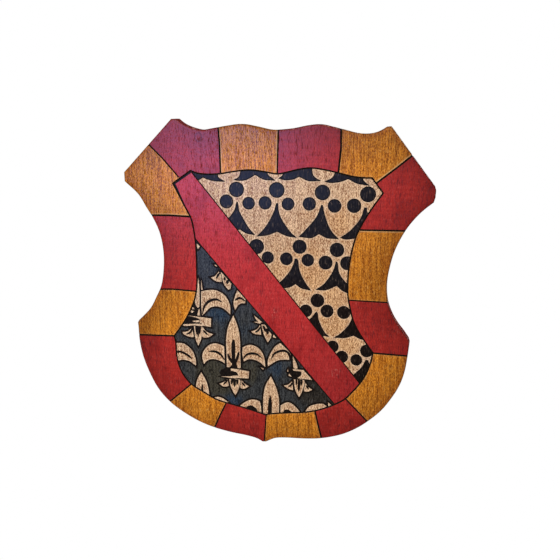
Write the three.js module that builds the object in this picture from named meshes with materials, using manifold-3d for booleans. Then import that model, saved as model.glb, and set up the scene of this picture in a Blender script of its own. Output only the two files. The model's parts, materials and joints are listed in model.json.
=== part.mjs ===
// A painted wooden wall shield: five glued staves sawn to a heraldic outline, two battens
// screwed across the back, and a hanger whose ring goes over a hook in the wall.
// Millimetres. +Z is up, the painted face looks along -Y, and the wall is the plane y = 0.
// The origin is where the hook leaves the wall, level with the inside of the ring's top.

import * as THREE from 'three';
import { mergeVertices } from 'three/addons/utils/BufferGeometryUtils.js';
import Module from 'manifold-3d';

// The blank that the shield is set out on and sawn from
const blankHeight = 500;
const staveWidth = 100;
const staveCount = 5;
const boardThickness = 18;
const arris = 1; // the eased corner round both faces
const grooveWidth = 2.4; // burnt lines that part the painted fields
const grooveDepth = 0.7;
const grooveOverrun = 0.4; // how far a groove's cutter stands out of the face
const sawOverrun = 5; // how far every cutting solid runs past what it cuts

// Dowels across the glued joints
const dowelRadius = 4;
const dowelLength = 30;
const dowelGap = 0.3; // all round a dowel in its bore
const dowelSides = 16;

// Battens across the back
const battenWidth = 40;
const battenThickness = 18;
const battenOverhang = 40; // past the outermost glued joint
const battenEndChamfer = 6;
const battenEdgeChamfer = 2;
const battenToHangerGap = 6;

// Countersunk slotted screws
const screwSides = 20;
const screwGap = 0.35;
const screwRim = 0.4;
const battenScrewHeadRadius = 4;
const battenScrewShankRadius = 2;
const battenScrewBite = 11; // into the staves
const hangerScrewHeadRadius = 3;
const hangerScrewShankRadius = 1.5;
const hangerScrewBite = 11;
const screwPointLength = 3;
const slotWidth = 1;
const slotDepth = 0.9;
const outerScrewInset = 10; // from the outermost glued joint

// The hanger: a folded steel strap with an eye, and a D ring that swings in it
const strapWidth = 18;
const strapThickness = 2;
const strapReach = 40; // from the ring's pivot down to the strap's end
const eyeWall = 1;
const wireRadius = 1.5;
const eyeGap = 0.3;
const ringSideClearance = 2;
const ringHeight = 24; // pivot to the middle of the wire at the top
const ringCornerRadius = 3;
const hangerScrewInset = 12; // upper screw below the pivot
const hangerScrewPitch = 17;
const wireSides = 10;

// Felt pads that keep the battens off the wall
const padRadius = 8;
const padThickness = 3;
const padMargin = 1;

// Heights on the board, as shares of half its height
const pivotHeightShare = 0.784;
const lowerBattenShare = -0.38;
const dowelHeightShares = { upper: 0.76, middle: 0.08, lower: -0.66 };

// The sawn outline, clockwise from the left ear, as shares of the blank's half width and
// half height. A bowed stretch is a smooth curve through its points, the others are straight.
const outlineShares = [
  { bowed: false, shares: [[-0.956, 0.598], [-0.96, 0.654], [-0.666, 0.989], [-0.63, 0.992]] },
  {
    bowed: true,
    shares: [
      [-0.63, 0.992], [-0.6, 0.97], [-0.572, 0.956], [-0.536, 0.944], [-0.472, 0.933],
      [-0.4, 0.946], [-0.32, 0.963], [-0.228, 0.977], [-0.14, 0.966], [-0.048, 0.951],
      [0.032, 0.957], [0.1, 0.968], [0.168, 0.985], [0.248, 0.995], [0.32, 0.983],
      [0.388, 0.969], [0.46, 0.954], [0.52, 0.952], [0.572, 0.962], [0.608, 0.979],
      [0.634, 0.997],
    ],
  },
  {
    bowed: false,
    shares: [[0.634, 0.997], [0.658, 1], [0.934, 0.664], [0.942, 0.64], [0.94, 0.6], [0.932, 0.572]],
  },
  {
    bowed: true,
    shares: [
      [0.932, 0.572], [0.884, 0.53], [0.836, 0.478], [0.782, 0.4], [0.728, 0.28],
      [0.7, 0.16], [0.691, 0.06], [0.704, -0.04], [0.738, -0.12], [0.774, -0.174],
      [0.81, -0.216], [0.842, -0.258],
    ],
  },
  { bowed: false, shares: [[0.842, -0.258], [0.85, -0.28]] },
  {
    bowed: true,
    shares: [
      [0.85, -0.28], [0.844, -0.368], [0.831, -0.472], [0.804, -0.56], [0.762, -0.64],
      [0.708, -0.72], [0.63, -0.798], [0.56, -0.852], [0.472, -0.9], [0.348, -0.938],
      [0.24, -0.952], [0.128, -0.958], [0.056, -0.968], [-0.004, -0.998],
    ],
  },
  { bowed: false, shares: [[-0.004, -0.998], [-0.024, -1]] },
  {
    bowed: true,
    shares: [
      [-0.024, -1], [-0.064, -0.982], [-0.128, -0.97], [-0.228, -0.959], [-0.34, -0.939],
      [-0.44, -0.908], [-0.548, -0.856], [-0.64, -0.795], [-0.72, -0.712], [-0.784, -0.6],
      [-0.825, -0.5], [-0.848, -0.4], [-0.856, -0.32], [-0.86, -0.29],
    ],
  },
  { bowed: false, shares: [[-0.86, -0.29], [-0.852, -0.274]] },
  {
    bowed: true,
    shares: [
      [-0.852, -0.274], [-0.814, -0.234], [-0.776, -0.188], [-0.74, -0.114], [-0.71, -0.04],
      [-0.697, 0.06], [-0.699, 0.168], [-0.722, 0.28], [-0.762, 0.368], [-0.812, 0.442],
      [-0.866, 0.522], [-0.956, 0.598],
    ],
  },
];

// The line round the inner shield, set out in the same way
const innerShieldShares = [
  { bowed: false, shares: [[-0.646, 0.602], [-0.536, 0.685]] },
  {
    bowed: true,
    shares: [
      [-0.536, 0.685], [-0.496, 0.672], [-0.432, 0.668], [-0.36, 0.674], [-0.28, 0.69],
      [-0.2, 0.704], [-0.144, 0.707], [-0.072, 0.7], [0, 0.692], [0.056, 0.704],
      [0.128, 0.725], [0.2, 0.737], [0.28, 0.731], [0.368, 0.716], [0.448, 0.7],
      [0.512, 0.695], [0.566, 0.697],
    ],
  },
  { bowed: false, shares: [[0.566, 0.697], [0.636, 0.612]] },
  {
    bowed: true,
    shares: [
      [0.636, 0.612], [0.6, 0.556], [0.56, 0.49], [0.52, 0.414], [0.492, 0.344],
      [0.472, 0.256], [0.461, 0.16], [0.458, 0.06], [0.464, -0.02], [0.48, -0.088],
      [0.504, -0.168], [0.544, -0.24], [0.584, -0.294], [0.634, -0.358],
    ],
  },
  {
    bowed: true,
    shares: [
      [0.634, -0.358], [0.628, -0.408], [0.606, -0.484], [0.568, -0.558], [0.52, -0.622],
      [0.48, -0.668], [0.416, -0.71], [0.336, -0.748], [0.248, -0.775], [0.14, -0.79],
      [0.048, -0.804], [-0.014, -0.818],
    ],
  },
  {
    bowed: true,
    shares: [
      [-0.014, -0.818], [-0.072, -0.804], [-0.16, -0.784], [-0.264, -0.765], [-0.336, -0.748],
      [-0.416, -0.708], [-0.496, -0.666], [-0.548, -0.612], [-0.584, -0.544], [-0.602, -0.464],
      [-0.607, -0.4], [-0.618, -0.357],
    ],
  },
  {
    bowed: true,
    shares: [
      [-0.618, -0.357], [-0.58, -0.301], [-0.54, -0.234], [-0.51, -0.168], [-0.488, -0.1],
      [-0.479, -0.024], [-0.481, 0.064], [-0.487, 0.18], [-0.498, 0.276], [-0.524, 0.388],
      [-0.572, 0.474], [-0.646, 0.602],
    ],
  },
];

// The lines that part the border into its sixteen fields, from the edge inwards
const dividerShares = [
  [[-0.808, 0.834], [-0.72, 0.756], [-0.612, 0.644]],
  [[-0.374, 0.97], [-0.36, 0.856], [-0.348, 0.68]],
  [[-0.004, 0.97], [0, 0.696]],
  [[0.368, 0.99], [0.374, 0.86], [0.366, 0.72]],
  [[0.802, 0.848], [0.712, 0.768], [0.596, 0.67]],
  [[0.8, 0.398], [0.516, 0.386]],
  [[0.72, -0.04], [0.472, -0.044]],
  [[0.86, -0.36], [0.636, -0.36]],
  [[0.644, -0.814], [0.484, -0.664]],
  [[0.356, -0.96], [0.32, -0.84], [0.3, -0.766]],
  [[-0.014, -1.012], [-0.008, -0.82]],
  [[-0.348, -0.96], [-0.304, -0.848], [-0.268, -0.766]],
  [[-0.656, -0.81], [-0.5, -0.664]],
  [[-0.868, -0.37], [-0.74, -0.364], [-0.618, -0.358]],
  [[-0.73, -0.065], [-0.64, -0.058], [-0.48, -0.06]],
  [[-0.8, 0.397], [-0.66, 0.404], [-0.528, 0.404]],
];

// The two edges of the bend, the broad band that falls from the upper left
const bendEdgeShares = [
  [[-0.528, 0.674], [0.564, -0.556]],
  [[-0.496, 0.27], [0.42, -0.708]],
];

const curveSteps = 3; // straight steps between two points of a bowed stretch

// Sizes and places that follow from the ones above
const halfBlankWidth = (staveWidth * staveCount) / 2;
const halfBlankHeight = blankHeight / 2;
const wallPlane = 0;
const battenBack = wallPlane - padThickness;
const boardBack = battenBack - battenThickness;
const boardFront = boardBack - boardThickness;
const boardMiddle = (boardBack + boardFront) / 2;
const outerJoint = halfBlankWidth - staveWidth;
const battenHalfLength = outerJoint + battenOverhang;
const eyeInnerRadius = wireRadius + eyeGap;
const eyeOuterRadius = eyeInnerRadius + eyeWall;
const pivotHeight = pivotHeightShare * halfBlankHeight;
const pivotDepth = boardBack + eyeOuterRadius;
const hookHeight = pivotHeight + ringHeight - wireRadius;
const upperBattenHeight = pivotHeight - strapReach - battenToHangerGap - battenWidth / 2;
const lowerBattenHeight = lowerBattenShare * halfBlankHeight;
const ringHalfWidth = strapWidth / 2 + ringSideClearance + wireRadius;

// Materials
const material = (color, roughness, metalness = 0) =>
  new THREE.MeshStandardMaterial({ color, roughness, metalness });
const paintedOak = material(0xa8412f, 0.45);
const rawOak = material(0xc8a678, 0.75);
const beech = material(0xd9b98c, 0.7);
const brass = material(0xb08d4a, 0.35, 1);
const steel = material(0x8f9194, 0.4, 1);
const felt = material(0x2e4a35, 0.95);

// The boolean library
const wasm = await Module();
wasm.setup();

// A closed geometry as a solid that can be joined and cut
function toSolid(geometry) {
  const bare = geometry.clone();
  bare.deleteAttribute('normal');
  bare.deleteAttribute('uv');
  const merged = mergeVertices(bare, 1e-4);
  const mesh = new wasm.Mesh({
    numProp: 3,
    vertProperties: new Float32Array(merged.attributes.position.array),
    triVerts: new Uint32Array(merged.index.array),
  });
  return new wasm.Manifold(mesh);
}

// A solid back as a geometry with flat shading
function toGeometry(solid) {
  const mesh = solid.getMesh();
  const geometry = new THREE.BufferGeometry();
  geometry.setAttribute('position', new THREE.BufferAttribute(mesh.vertProperties, 3));
  geometry.setIndex(new THREE.BufferAttribute(mesh.triVerts, 1));
  geometry.computeVertexNormals();
  return geometry;
}

// A point of the face, from its shares
function facePoint([xShare, zShare]) {
  return new THREE.Vector2(xShare * halfBlankWidth, zShare * halfBlankHeight);
}

// The points of one stretch, without its last one
function stretchPoints({ bowed, shares }) {
  const points = shares.map(facePoint);
  if (!bowed) return points.slice(0, -1);
  const knots = points.map((p) => new THREE.Vector3(p.x, p.y, 0));
  const curve = new THREE.CatmullRomCurve3(knots, false, 'centripetal');
  const steps = (knots.length - 1) * curveSteps;
  return curve.getPoints(steps).slice(0, -1).map((p) => new THREE.Vector2(p.x, p.y));
}

// A closed loop from its stretches
function loopPoints(stretches) {
  return stretches.flatMap(stretchPoints);
}

// The whole board before it is cut into staves: the outline with both arrises eased
function boardSolid() {
  const shape = new THREE.Shape(loopPoints(outlineShares));
  const geometry = new THREE.ExtrudeGeometry(shape, {
    depth: boardThickness - 2 * arris,
    bevelEnabled: true,
    bevelThickness: arris,
    bevelSize: arris,
    bevelOffset: -arris,
    bevelSegments: 1,
  });
  geometry.rotateX(Math.PI / 2);
  geometry.translate(0, boardBack - arris, 0);
  return toSolid(geometry);
}

// A V cutter along a line on the face
function grooveSolid(points, closed) {
  const count = points.length;
  const proud = grooveOverrun;
  const halfTop = (grooveWidth / 2) * (1 + proud / grooveDepth);
  const position = [];
  for (let i = 0; i < count; i += 1) {
    const before = points[closed ? (i + count - 1) % count : Math.max(i - 1, 0)];
    const after = points[closed ? (i + 1) % count : Math.min(i + 1, count - 1)];
    const into = points[i].clone().sub(before).normalize();
    const away = after.clone().sub(points[i]).normalize();
    const along = into.add(away).normalize();
    const side = new THREE.Vector2(-along.y, along.x).multiplyScalar(halfTop);
    position.push(points[i].x + side.x, boardFront - proud, points[i].y + side.y);
    position.push(points[i].x - side.x, boardFront - proud, points[i].y - side.y);
    position.push(points[i].x, boardFront + grooveDepth, points[i].y);
  }
  const index = [];
  const spans = closed ? count : count - 1;
  for (let i = 0; i < spans; i += 1) {
    const a = 3 * i;
    const b = 3 * ((i + 1) % count);
    for (let edge = 0; edge < 3; edge += 1) {
      const next = (edge + 1) % 3;
      index.push(a + edge, a + next, b + edge);
      index.push(a + next, b + next, b + edge);
    }
  }
  if (!closed) {
    const last = 3 * (count - 1);
    index.push(0, 2, 1);
    index.push(last, last + 1, last + 2);
  }
  const geometry = new THREE.BufferGeometry();
  geometry.setAttribute('position', new THREE.Float32BufferAttribute(position, 3));
  geometry.setIndex(index);
  return toSolid(geometry);
}

// Every burnt line: round the inner shield, across the border and along the bend
function grooveSolids() {
  const lines = [...dividerShares, ...bendEdgeShares];
  const open = lines.map((shares) => grooveSolid(shares.map(facePoint), false));
  return [grooveSolid(loopPoints(innerShieldShares), true), ...open];
}

// A box from its lowest to its highest corner
function boxSolid(low, high) {
  const size = high.clone().sub(low);
  const geometry = new THREE.BoxGeometry(size.x, size.y, size.z);
  const middle = low.clone().add(high).multiplyScalar(0.5);
  geometry.translate(middle.x, middle.y, middle.z);
  return toSolid(geometry);
}

// A round bar along X, for a dowel or for the bore that it sits in
function barGeometry(radius, length) {
  const geometry = new THREE.CylinderGeometry(radius, radius, length, dowelSides);
  return geometry.rotateZ(Math.PI / 2);
}

// A countersunk screw with its head at y = 0 and its point along -Y; grow makes its hole
function screwProfile(headRadius, shankRadius, length, grow, proud) {
  const neck = screwRim + headRadius - shankRadius;
  const tip = grow > 0 ? 0 : screwPointLength;
  return [
    new THREE.Vector2(0, -length - grow),
    new THREE.Vector2(shankRadius + grow, -length - grow + tip),
    new THREE.Vector2(shankRadius + grow, -neck),
    new THREE.Vector2(headRadius + grow, -screwRim),
    new THREE.Vector2(headRadius + grow, proud),
    new THREE.Vector2(0, proud),
  ];
}

function screwSolid(headRadius, shankRadius, length) {
  const profile = screwProfile(headRadius, shankRadius, length, 0, 0);
  const body = toSolid(new THREE.LatheGeometry(profile, screwSides));
  const reach = headRadius + sawOverrun;
  const slot = boxSolid(
    new THREE.Vector3(-reach, -slotDepth, -slotWidth / 2),
    new THREE.Vector3(reach, sawOverrun, slotWidth / 2),
  );
  return body.subtract(slot);
}

function screwHoleSolid(headRadius, shankRadius, length) {
  const profile = screwProfile(headRadius, shankRadius, length, screwGap, sawOverrun);
  return toSolid(new THREE.LatheGeometry(profile, screwSides));
}

// Where the screws, the pads and the dowels go
const battens = [
  { level: 'upper', height: upperBattenHeight },
  { level: 'lower', height: lowerBattenHeight },
];
const battenScrewXs = [
  -outerJoint - outerScrewInset,
  ...Array.from({ length: staveCount - 2 }, (_, i) => (i - (staveCount - 3) / 2) * staveWidth),
  outerJoint + outerScrewInset,
];
const padX = battenHalfLength - battenEndChamfer - padMargin - padRadius;
const battenScrewLength = battenThickness + battenScrewBite;
const hangerScrewLength = strapThickness + hangerScrewBite;
const hangerScrewHeights = {
  upper: pivotHeight - hangerScrewInset,
  lower: pivotHeight - hangerScrewInset - hangerScrewPitch,
};
const strapFace = boardBack + strapThickness;
const joints = Array.from({ length: staveCount - 1 }, (_, i) => (i + 1) * staveWidth - halfBlankWidth);

// Holes for the battens' screws, cut alike in the battens and in the staves
function battenScrewHoles() {
  const hole = screwHoleSolid(battenScrewHeadRadius, battenScrewShankRadius, battenScrewLength);
  return battens.flatMap(({ height }) =>
    battenScrewXs.map((x) => hole.translate([x, battenBack, height])),
  );
}

// Holes for the hanger's screws, cut alike in the strap and in the middle stave
function hangerScrewHoles() {
  const hole = screwHoleSolid(hangerScrewHeadRadius, hangerScrewShankRadius, hangerScrewLength);
  return Object.values(hangerScrewHeights).map((z) => hole.translate([0, strapFace, z]));
}

// Bores that take half a dowel on each side of a joint
function dowelBores() {
  const bore = toSolid(barGeometry(dowelRadius + dowelGap, dowelLength + 2 * dowelGap));
  return joints.flatMap((x) =>
    Object.values(dowelHeightShares).map((share) =>
      bore.translate([x, boardMiddle, share * halfBlankHeight]),
    ),
  );
}

function cutAll(solid, cutters) {
  return cutters.reduce((rest, cutter) => rest.subtract(cutter), solid);
}

// The group holds everything at its height on the board, and is lowered to the hook
const shield = new THREE.Group();
shield.name = 'heraldic_shield';
shield.position.set(0, 0, -hookHeight);

function addPiece(name, geometry, finish, x = 0, y = 0, z = 0) {
  const mesh = new THREE.Mesh(geometry, finish);
  mesh.name = name;
  mesh.position.set(x, y, z);
  shield.add(mesh);
  return mesh;
}

// Staves, from left to right as seen from the front
function addStaves() {
  const cuts = [...grooveSolids(), ...battenScrewHoles(), ...hangerScrewHoles(), ...dowelBores()];
  const board = cutAll(boardSolid(), cuts);
  for (let i = 0; i < staveCount; i += 1) {
    const left = i * staveWidth - halfBlankWidth;
    const slab = boxSolid(
      new THREE.Vector3(left, boardFront - sawOverrun, -halfBlankHeight - sawOverrun),
      new THREE.Vector3(left + staveWidth, boardBack + sawOverrun, halfBlankHeight + sawOverrun),
    );
    addPiece(`stave_${i + 1}`, toGeometry(board.intersect(slab)), paintedOak);
  }
}

function addDowels() {
  const geometry = barGeometry(dowelRadius, dowelLength);
  joints.forEach((x, i) => {
    for (const [level, share] of Object.entries(dowelHeightShares)) {
      addPiece(`dowel_${i + 1}_${level}`, geometry, beech, x, boardMiddle, share * halfBlankHeight);
    }
  });
}

// A batten: chamfered at both ends and along both edges of the side towards the wall
function battenSolid() {
  const plan = new THREE.Shape([
    new THREE.Vector2(-battenHalfLength, boardBack),
    new THREE.Vector2(battenHalfLength, boardBack),
    new THREE.Vector2(battenHalfLength, battenBack - battenEndChamfer),
    new THREE.Vector2(battenHalfLength - battenEndChamfer, battenBack),
    new THREE.Vector2(battenEndChamfer - battenHalfLength, battenBack),
    new THREE.Vector2(-battenHalfLength, battenBack - battenEndChamfer),
  ]);
  const length = new THREE.ExtrudeGeometry(plan, { depth: battenWidth, bevelEnabled: false });
  length.translate(0, 0, -battenWidth / 2);
  const half = battenWidth / 2;
  const section = new THREE.Shape([
    new THREE.Vector2(boardBack, -half),
    new THREE.Vector2(battenBack - battenEdgeChamfer, -half),
    new THREE.Vector2(battenBack, battenEdgeChamfer - half),
    new THREE.Vector2(battenBack, half - battenEdgeChamfer),
    new THREE.Vector2(battenBack - battenEdgeChamfer, half),
    new THREE.Vector2(boardBack, half),
  ]);
  const run = 2 * (battenHalfLength + sawOverrun);
  const bar = alongX(new THREE.ExtrudeGeometry(section, { depth: run, bevelEnabled: false }), run);
  return toSolid(length).intersect(toSolid(bar));
}

// Turns a section drawn in (y, z) and extruded by depth so that it runs along X
function alongX(geometry, depth) {
  geometry.translate(0, 0, -depth / 2);
  const turn = new THREE.Matrix4().makeBasis(
    new THREE.Vector3(0, 1, 0),
    new THREE.Vector3(0, 0, 1),
    new THREE.Vector3(1, 0, 0),
  );
  return geometry.applyMatrix4(turn);
}

function addBattens() {
  const plain = battenSolid();
  const holes = battenScrewHoles();
  const length = battenScrewLength;
  const screw = toGeometry(screwSolid(battenScrewHeadRadius, battenScrewShankRadius, length));
  const pad = new THREE.CylinderGeometry(padRadius, padRadius, padThickness, 2 * dowelSides);
  for (const { level, height } of battens) {
    const batten = cutAll(plain.translate([0, 0, height]), holes);
    addPiece(`${level}_batten`, toGeometry(batten), rawOak);
    battenScrewXs.forEach((x, i) => {
      addPiece(`${level}_batten_screw_${i + 1}`, screw, brass, x, battenBack, height);
    });
    const padMiddle = wallPlane - padThickness / 2;
    addPiece(`felt_pad_${level}_left`, pad, felt, -padX, padMiddle, height);
    addPiece(`felt_pad_${level}_right`, pad, felt, padX, padMiddle, height);
  }
}

// The strap: a flat plate whose upper end turns into an eye round the ring's bar
function strapSolid() {
  const low = pivotHeight - strapReach;
  const meet = Math.acos((eyeOuterRadius - strapThickness) / eyeOuterRadius);
  const side = new THREE.Shape();
  side.moveTo(boardBack, low);
  side.lineTo(boardBack, pivotHeight);
  side.absarc(pivotDepth, pivotHeight, eyeOuterRadius, Math.PI, meet - Math.PI, true);
  side.lineTo(strapFace, low);
  const eye = new THREE.Path();
  eye.absarc(pivotDepth, pivotHeight, eyeInnerRadius, 0, 2 * Math.PI, false);
  side.holes.push(eye);
  const sideExtrusion = new THREE.ExtrudeGeometry(side, {
    depth: strapWidth,
    bevelEnabled: false,
    curveSegments: dowelSides,
  });
  const half = strapWidth / 2;
  const front = new THREE.Shape();
  front.moveTo(-half, pivotHeight + eyeOuterRadius + sawOverrun);
  front.lineTo(-half, low + half);
  front.absarc(0, low + half, half, Math.PI, 2 * Math.PI, false);
  front.lineTo(half, pivotHeight + eyeOuterRadius + sawOverrun);
  const deep = 2 * (eyeOuterRadius + sawOverrun);
  const frontExtrusion = new THREE.ExtrudeGeometry(front, {
    depth: deep,
    bevelEnabled: false,
    curveSegments: dowelSides,
  });
  frontExtrusion.rotateX(Math.PI / 2);
  frontExtrusion.translate(0, boardBack + deep, 0);
  return toSolid(alongX(sideExtrusion, strapWidth)).intersect(toSolid(frontExtrusion));
}

// The middle line of the ring's wire, round its pivot: a bar, two corners and a round top
function ringPath() {
  const path = new THREE.Path();
  const corner = ringCornerRadius;
  const shoulder = ringHeight - ringHalfWidth;
  path.moveTo(corner - ringHalfWidth, 0);
  path.lineTo(ringHalfWidth - corner, 0);
  path.absarc(ringHalfWidth - corner, corner, corner, -Math.PI / 2, 0, false);
  path.lineTo(ringHalfWidth, shoulder);
  path.absarc(0, shoulder, ringHalfWidth, 0, Math.PI, false);
  path.lineTo(-ringHalfWidth, corner);
  path.absarc(corner - ringHalfWidth, corner, corner, Math.PI, 1.5 * Math.PI, false);
  const points = path.getPoints(wireSides);
  return points.filter((p, i) => i === 0 || p.distanceTo(points[i - 1]) > eyeGap);
}

// A round wire swept along a closed flat path in the XZ plane
function wireLoop(points, radius, sides) {
  const loop = points[0].distanceTo(points.at(-1)) < radius / 2 ? points.slice(0, -1) : points;
  const count = loop.length;
  const position = [];
  const index = [];
  for (let i = 0; i < count; i += 1) {
    const before = loop[(i + count - 1) % count];
    const after = loop[(i + 1) % count];
    const along = after.clone().sub(before).normalize();
    for (let j = 0; j < sides; j += 1) {
      const angle = (2 * Math.PI * j) / sides;
      const out = radius * Math.cos(angle);
      const deep = radius * Math.sin(angle);
      position.push(loop[i].x + along.y * out, deep, loop[i].y - along.x * out);
      const next = (j + 1) % sides;
      const a = i * sides;
      const b = ((i + 1) % count) * sides;
      index.push(a + j, a + next, b + j);
      index.push(a + next, b + next, b + j);
    }
  }
  const geometry = new THREE.BufferGeometry();
  geometry.setAttribute('position', new THREE.Float32BufferAttribute(position, 3));
  geometry.setIndex(index);
  geometry.computeVertexNormals();
  return geometry;
}

function addHanger() {
  addPiece('hanger_strap', toGeometry(cutAll(strapSolid(), hangerScrewHoles())), steel);
  const ring = wireLoop(ringPath(), wireRadius, wireSides);
  addPiece('hanger_ring', ring, steel, 0, pivotDepth, pivotHeight);
  const solid = screwSolid(hangerScrewHeadRadius, hangerScrewShankRadius, hangerScrewLength);
  const screw = toGeometry(solid);
  for (const [level, height] of Object.entries(hangerScrewHeights)) {
    addPiece(`hanger_screw_${level}`, screw, steel, 0, strapFace, height);
  }
}

addStaves();
addDowels();
addBattens();
addHanger();

export default shield;
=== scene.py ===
# %% [markdown]
# # A painted heraldic shield
#
# The shield is a board of five oak staves, sawn to an outline, drawn on with dark lines and
# painted. The packed model gives the staves, battens, screws, hanger and pads at their real
# size. This lesson dresses them: it plans the painted face as one flat drawing, turns the
# drawing into mesh faces, and gives every piece a material with its own wood, paint or metal.

# %% Load the packed model as a fixed frame
import json
import math

import bmesh
import bpy
import numpy as np
from mathutils import Matrix, Quaternion, Vector
from mathutils.geometry import delaunay_2d_cdt

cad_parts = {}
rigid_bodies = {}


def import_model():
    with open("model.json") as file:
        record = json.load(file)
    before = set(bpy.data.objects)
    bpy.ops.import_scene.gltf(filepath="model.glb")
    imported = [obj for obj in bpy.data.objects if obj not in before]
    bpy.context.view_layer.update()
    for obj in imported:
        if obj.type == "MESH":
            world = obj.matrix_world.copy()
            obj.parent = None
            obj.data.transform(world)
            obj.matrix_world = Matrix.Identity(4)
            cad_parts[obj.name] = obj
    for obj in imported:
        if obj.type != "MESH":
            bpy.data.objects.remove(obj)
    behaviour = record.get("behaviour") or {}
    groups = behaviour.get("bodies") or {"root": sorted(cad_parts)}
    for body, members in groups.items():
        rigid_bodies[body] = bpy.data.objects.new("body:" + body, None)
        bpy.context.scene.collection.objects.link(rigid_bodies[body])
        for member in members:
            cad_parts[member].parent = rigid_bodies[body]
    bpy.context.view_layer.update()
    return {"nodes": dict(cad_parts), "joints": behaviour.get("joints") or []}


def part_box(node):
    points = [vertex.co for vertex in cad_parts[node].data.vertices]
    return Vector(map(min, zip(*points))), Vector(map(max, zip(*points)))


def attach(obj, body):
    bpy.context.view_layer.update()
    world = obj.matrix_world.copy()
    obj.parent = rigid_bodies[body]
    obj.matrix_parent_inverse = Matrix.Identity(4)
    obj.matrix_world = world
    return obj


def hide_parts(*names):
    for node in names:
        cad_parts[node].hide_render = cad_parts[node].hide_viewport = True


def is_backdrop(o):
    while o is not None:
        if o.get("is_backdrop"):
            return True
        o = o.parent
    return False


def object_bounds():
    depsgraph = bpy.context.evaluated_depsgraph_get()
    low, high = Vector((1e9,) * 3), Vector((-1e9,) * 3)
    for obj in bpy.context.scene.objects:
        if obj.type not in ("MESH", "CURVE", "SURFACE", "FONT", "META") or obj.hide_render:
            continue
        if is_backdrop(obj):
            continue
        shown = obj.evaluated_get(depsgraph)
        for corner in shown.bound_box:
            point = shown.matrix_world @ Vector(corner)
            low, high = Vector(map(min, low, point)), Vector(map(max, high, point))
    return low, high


for leftover in list(bpy.data.objects):
    bpy.data.objects.remove(leftover)
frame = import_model()

# %% [markdown]
# ## Where the board is
#
# The arms are drawn in millimetres on the board itself, x to the right and z up from the
# middle of its face, as a painter would measure them. The frame says where that middle is.

# %% Measure the board in the frame
MM = 0.001
STAVES = [f"stave_{i}" for i in range(1, 6)]
boxes = [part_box(name) for name in STAVES]
FRONT_Y = boxes[0][0].y
BACK_Y = boxes[0][1].y
HALF_BLANK = (max(b[1].z for b in boxes) - min(b[0].z for b in boxes)) / 2 / MM
MIDDLE_Z = (max(b[1].z for b in boxes) + min(b[0].z for b in boxes)) / 2
JOINTS = [b[1].x / MM for b in boxes[:-1]]
print("half blank", round(HALF_BLANK, 2), "mm, joints at", [round(x, 2) for x in JOINTS])

# %% [markdown]
# ## Curves
#
# Saw, knife and brush all follow smooth lines that meet in corners. So a line here is a row of
# stretches, and each stretch is one smooth curve through a few chosen points. A curve that
# passes through its points is easier to set out by eye than one that is pulled by handles.

# %% Smooth curves and closed shapes
CURVE_STEPS = 4
SPOT_SIDES = 28
# A loaded brush leaves a line a little wider than itself, and swells soon after it is set down
BRUSH_SPREAD = 1.45
BRUSH_SWELL = 0.6


def bowed(points):
    """A smooth curve through the points, ends included."""
    p = np.array(points, float)
    p = np.vstack([2 * p[0] - p[1], p, 2 * p[-1] - p[-2]])
    gap = np.sqrt(np.linalg.norm(np.diff(p, axis=0), axis=1))
    t = np.linspace(0, 1, CURVE_STEPS, endpoint=False)[:, None]
    parts = []
    for i in range(1, len(p) - 2):
        a, b, c = gap[i - 1], gap[i], gap[i + 1]
        across = (p[i + 1] - p[i]) / b
        leave = b * ((p[i] - p[i - 1]) / a - (p[i + 1] - p[i - 1]) / (a + b) + across)
        arrive = b * (across - (p[i + 2] - p[i]) / (b + c) + (p[i + 2] - p[i + 1]) / c)
        near = p[i] * (2 * t**3 - 3 * t**2 + 1) + leave * (t**3 - 2 * t**2 + t)
        parts.append(near + p[i + 1] * (3 * t**2 - 2 * t**3) + arrive * (t**3 - t**2))
    return np.vstack([*parts, p[-2:-1]])


def shape(*stretches):
    """A closed outline: each stretch starts where the one before ends, and corners lie between."""
    runs = [list(stretches[0])]
    for stretch in stretches[1:]:
        runs.append([runs[-1][-1], *stretch])
    runs[-1].append(stretches[0][0])
    return np.vstack([bowed(run)[:-1] for run in runs if len(run) > 1])


def spot(x, z, radius):
    """A round spot."""
    angle = np.linspace(0, 2 * math.pi, SPOT_SIDES, endpoint=False)
    return np.column_stack([x + radius * np.cos(angle), z + radius * np.sin(angle)])


def brush_line(points, width, start=0.25, end=0.25):
    """The outline of a brush line: full in the middle, with its ends drawn out thin."""
    line = bowed(points)
    along = np.gradient(line, axis=0)
    along /= np.linalg.norm(along, axis=1)[:, None]
    side = np.column_stack([-along[:, 1], along[:, 0]])
    t = np.linspace(0, 1, len(line))
    swell = np.sin(math.pi * t) ** BRUSH_SWELL
    floor = start + (end - start) * t
    half = (BRUSH_SPREAD * width / 2 * (floor + (1 - floor) * swell))[:, None]
    return np.vstack([line + side * half, (line - side * half)[::-1]])


print("a brush line between two points has", len(brush_line([(0, 0), (10, 0)], 2.0)), "points")

# %% [markdown]
# ## The sawn outline
#
# A band saw cut the blank to this line: straight cuts across the ears and long curves between
# them. The packed model was cut to the same points, as shares of the blank's half size.
# Repeating them here keeps the painted face on the solids, and as shares they would still fit
# a blank of another size.

# %% The outline, clockwise from the left ear
def from_shares(points):
    """Points of the board in millimetres, from their shares of the blank's half size."""
    return np.array(points, float) * HALF_BLANK


def straight(*points):
    """Points that straight cuts join. The last one belongs to the next stretch."""
    return from_shares(points)[:-1]


def curve(*points):
    """Points that one smooth curve joins. The last one belongs to the next stretch."""
    return bowed(from_shares(points))[:-1]


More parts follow.
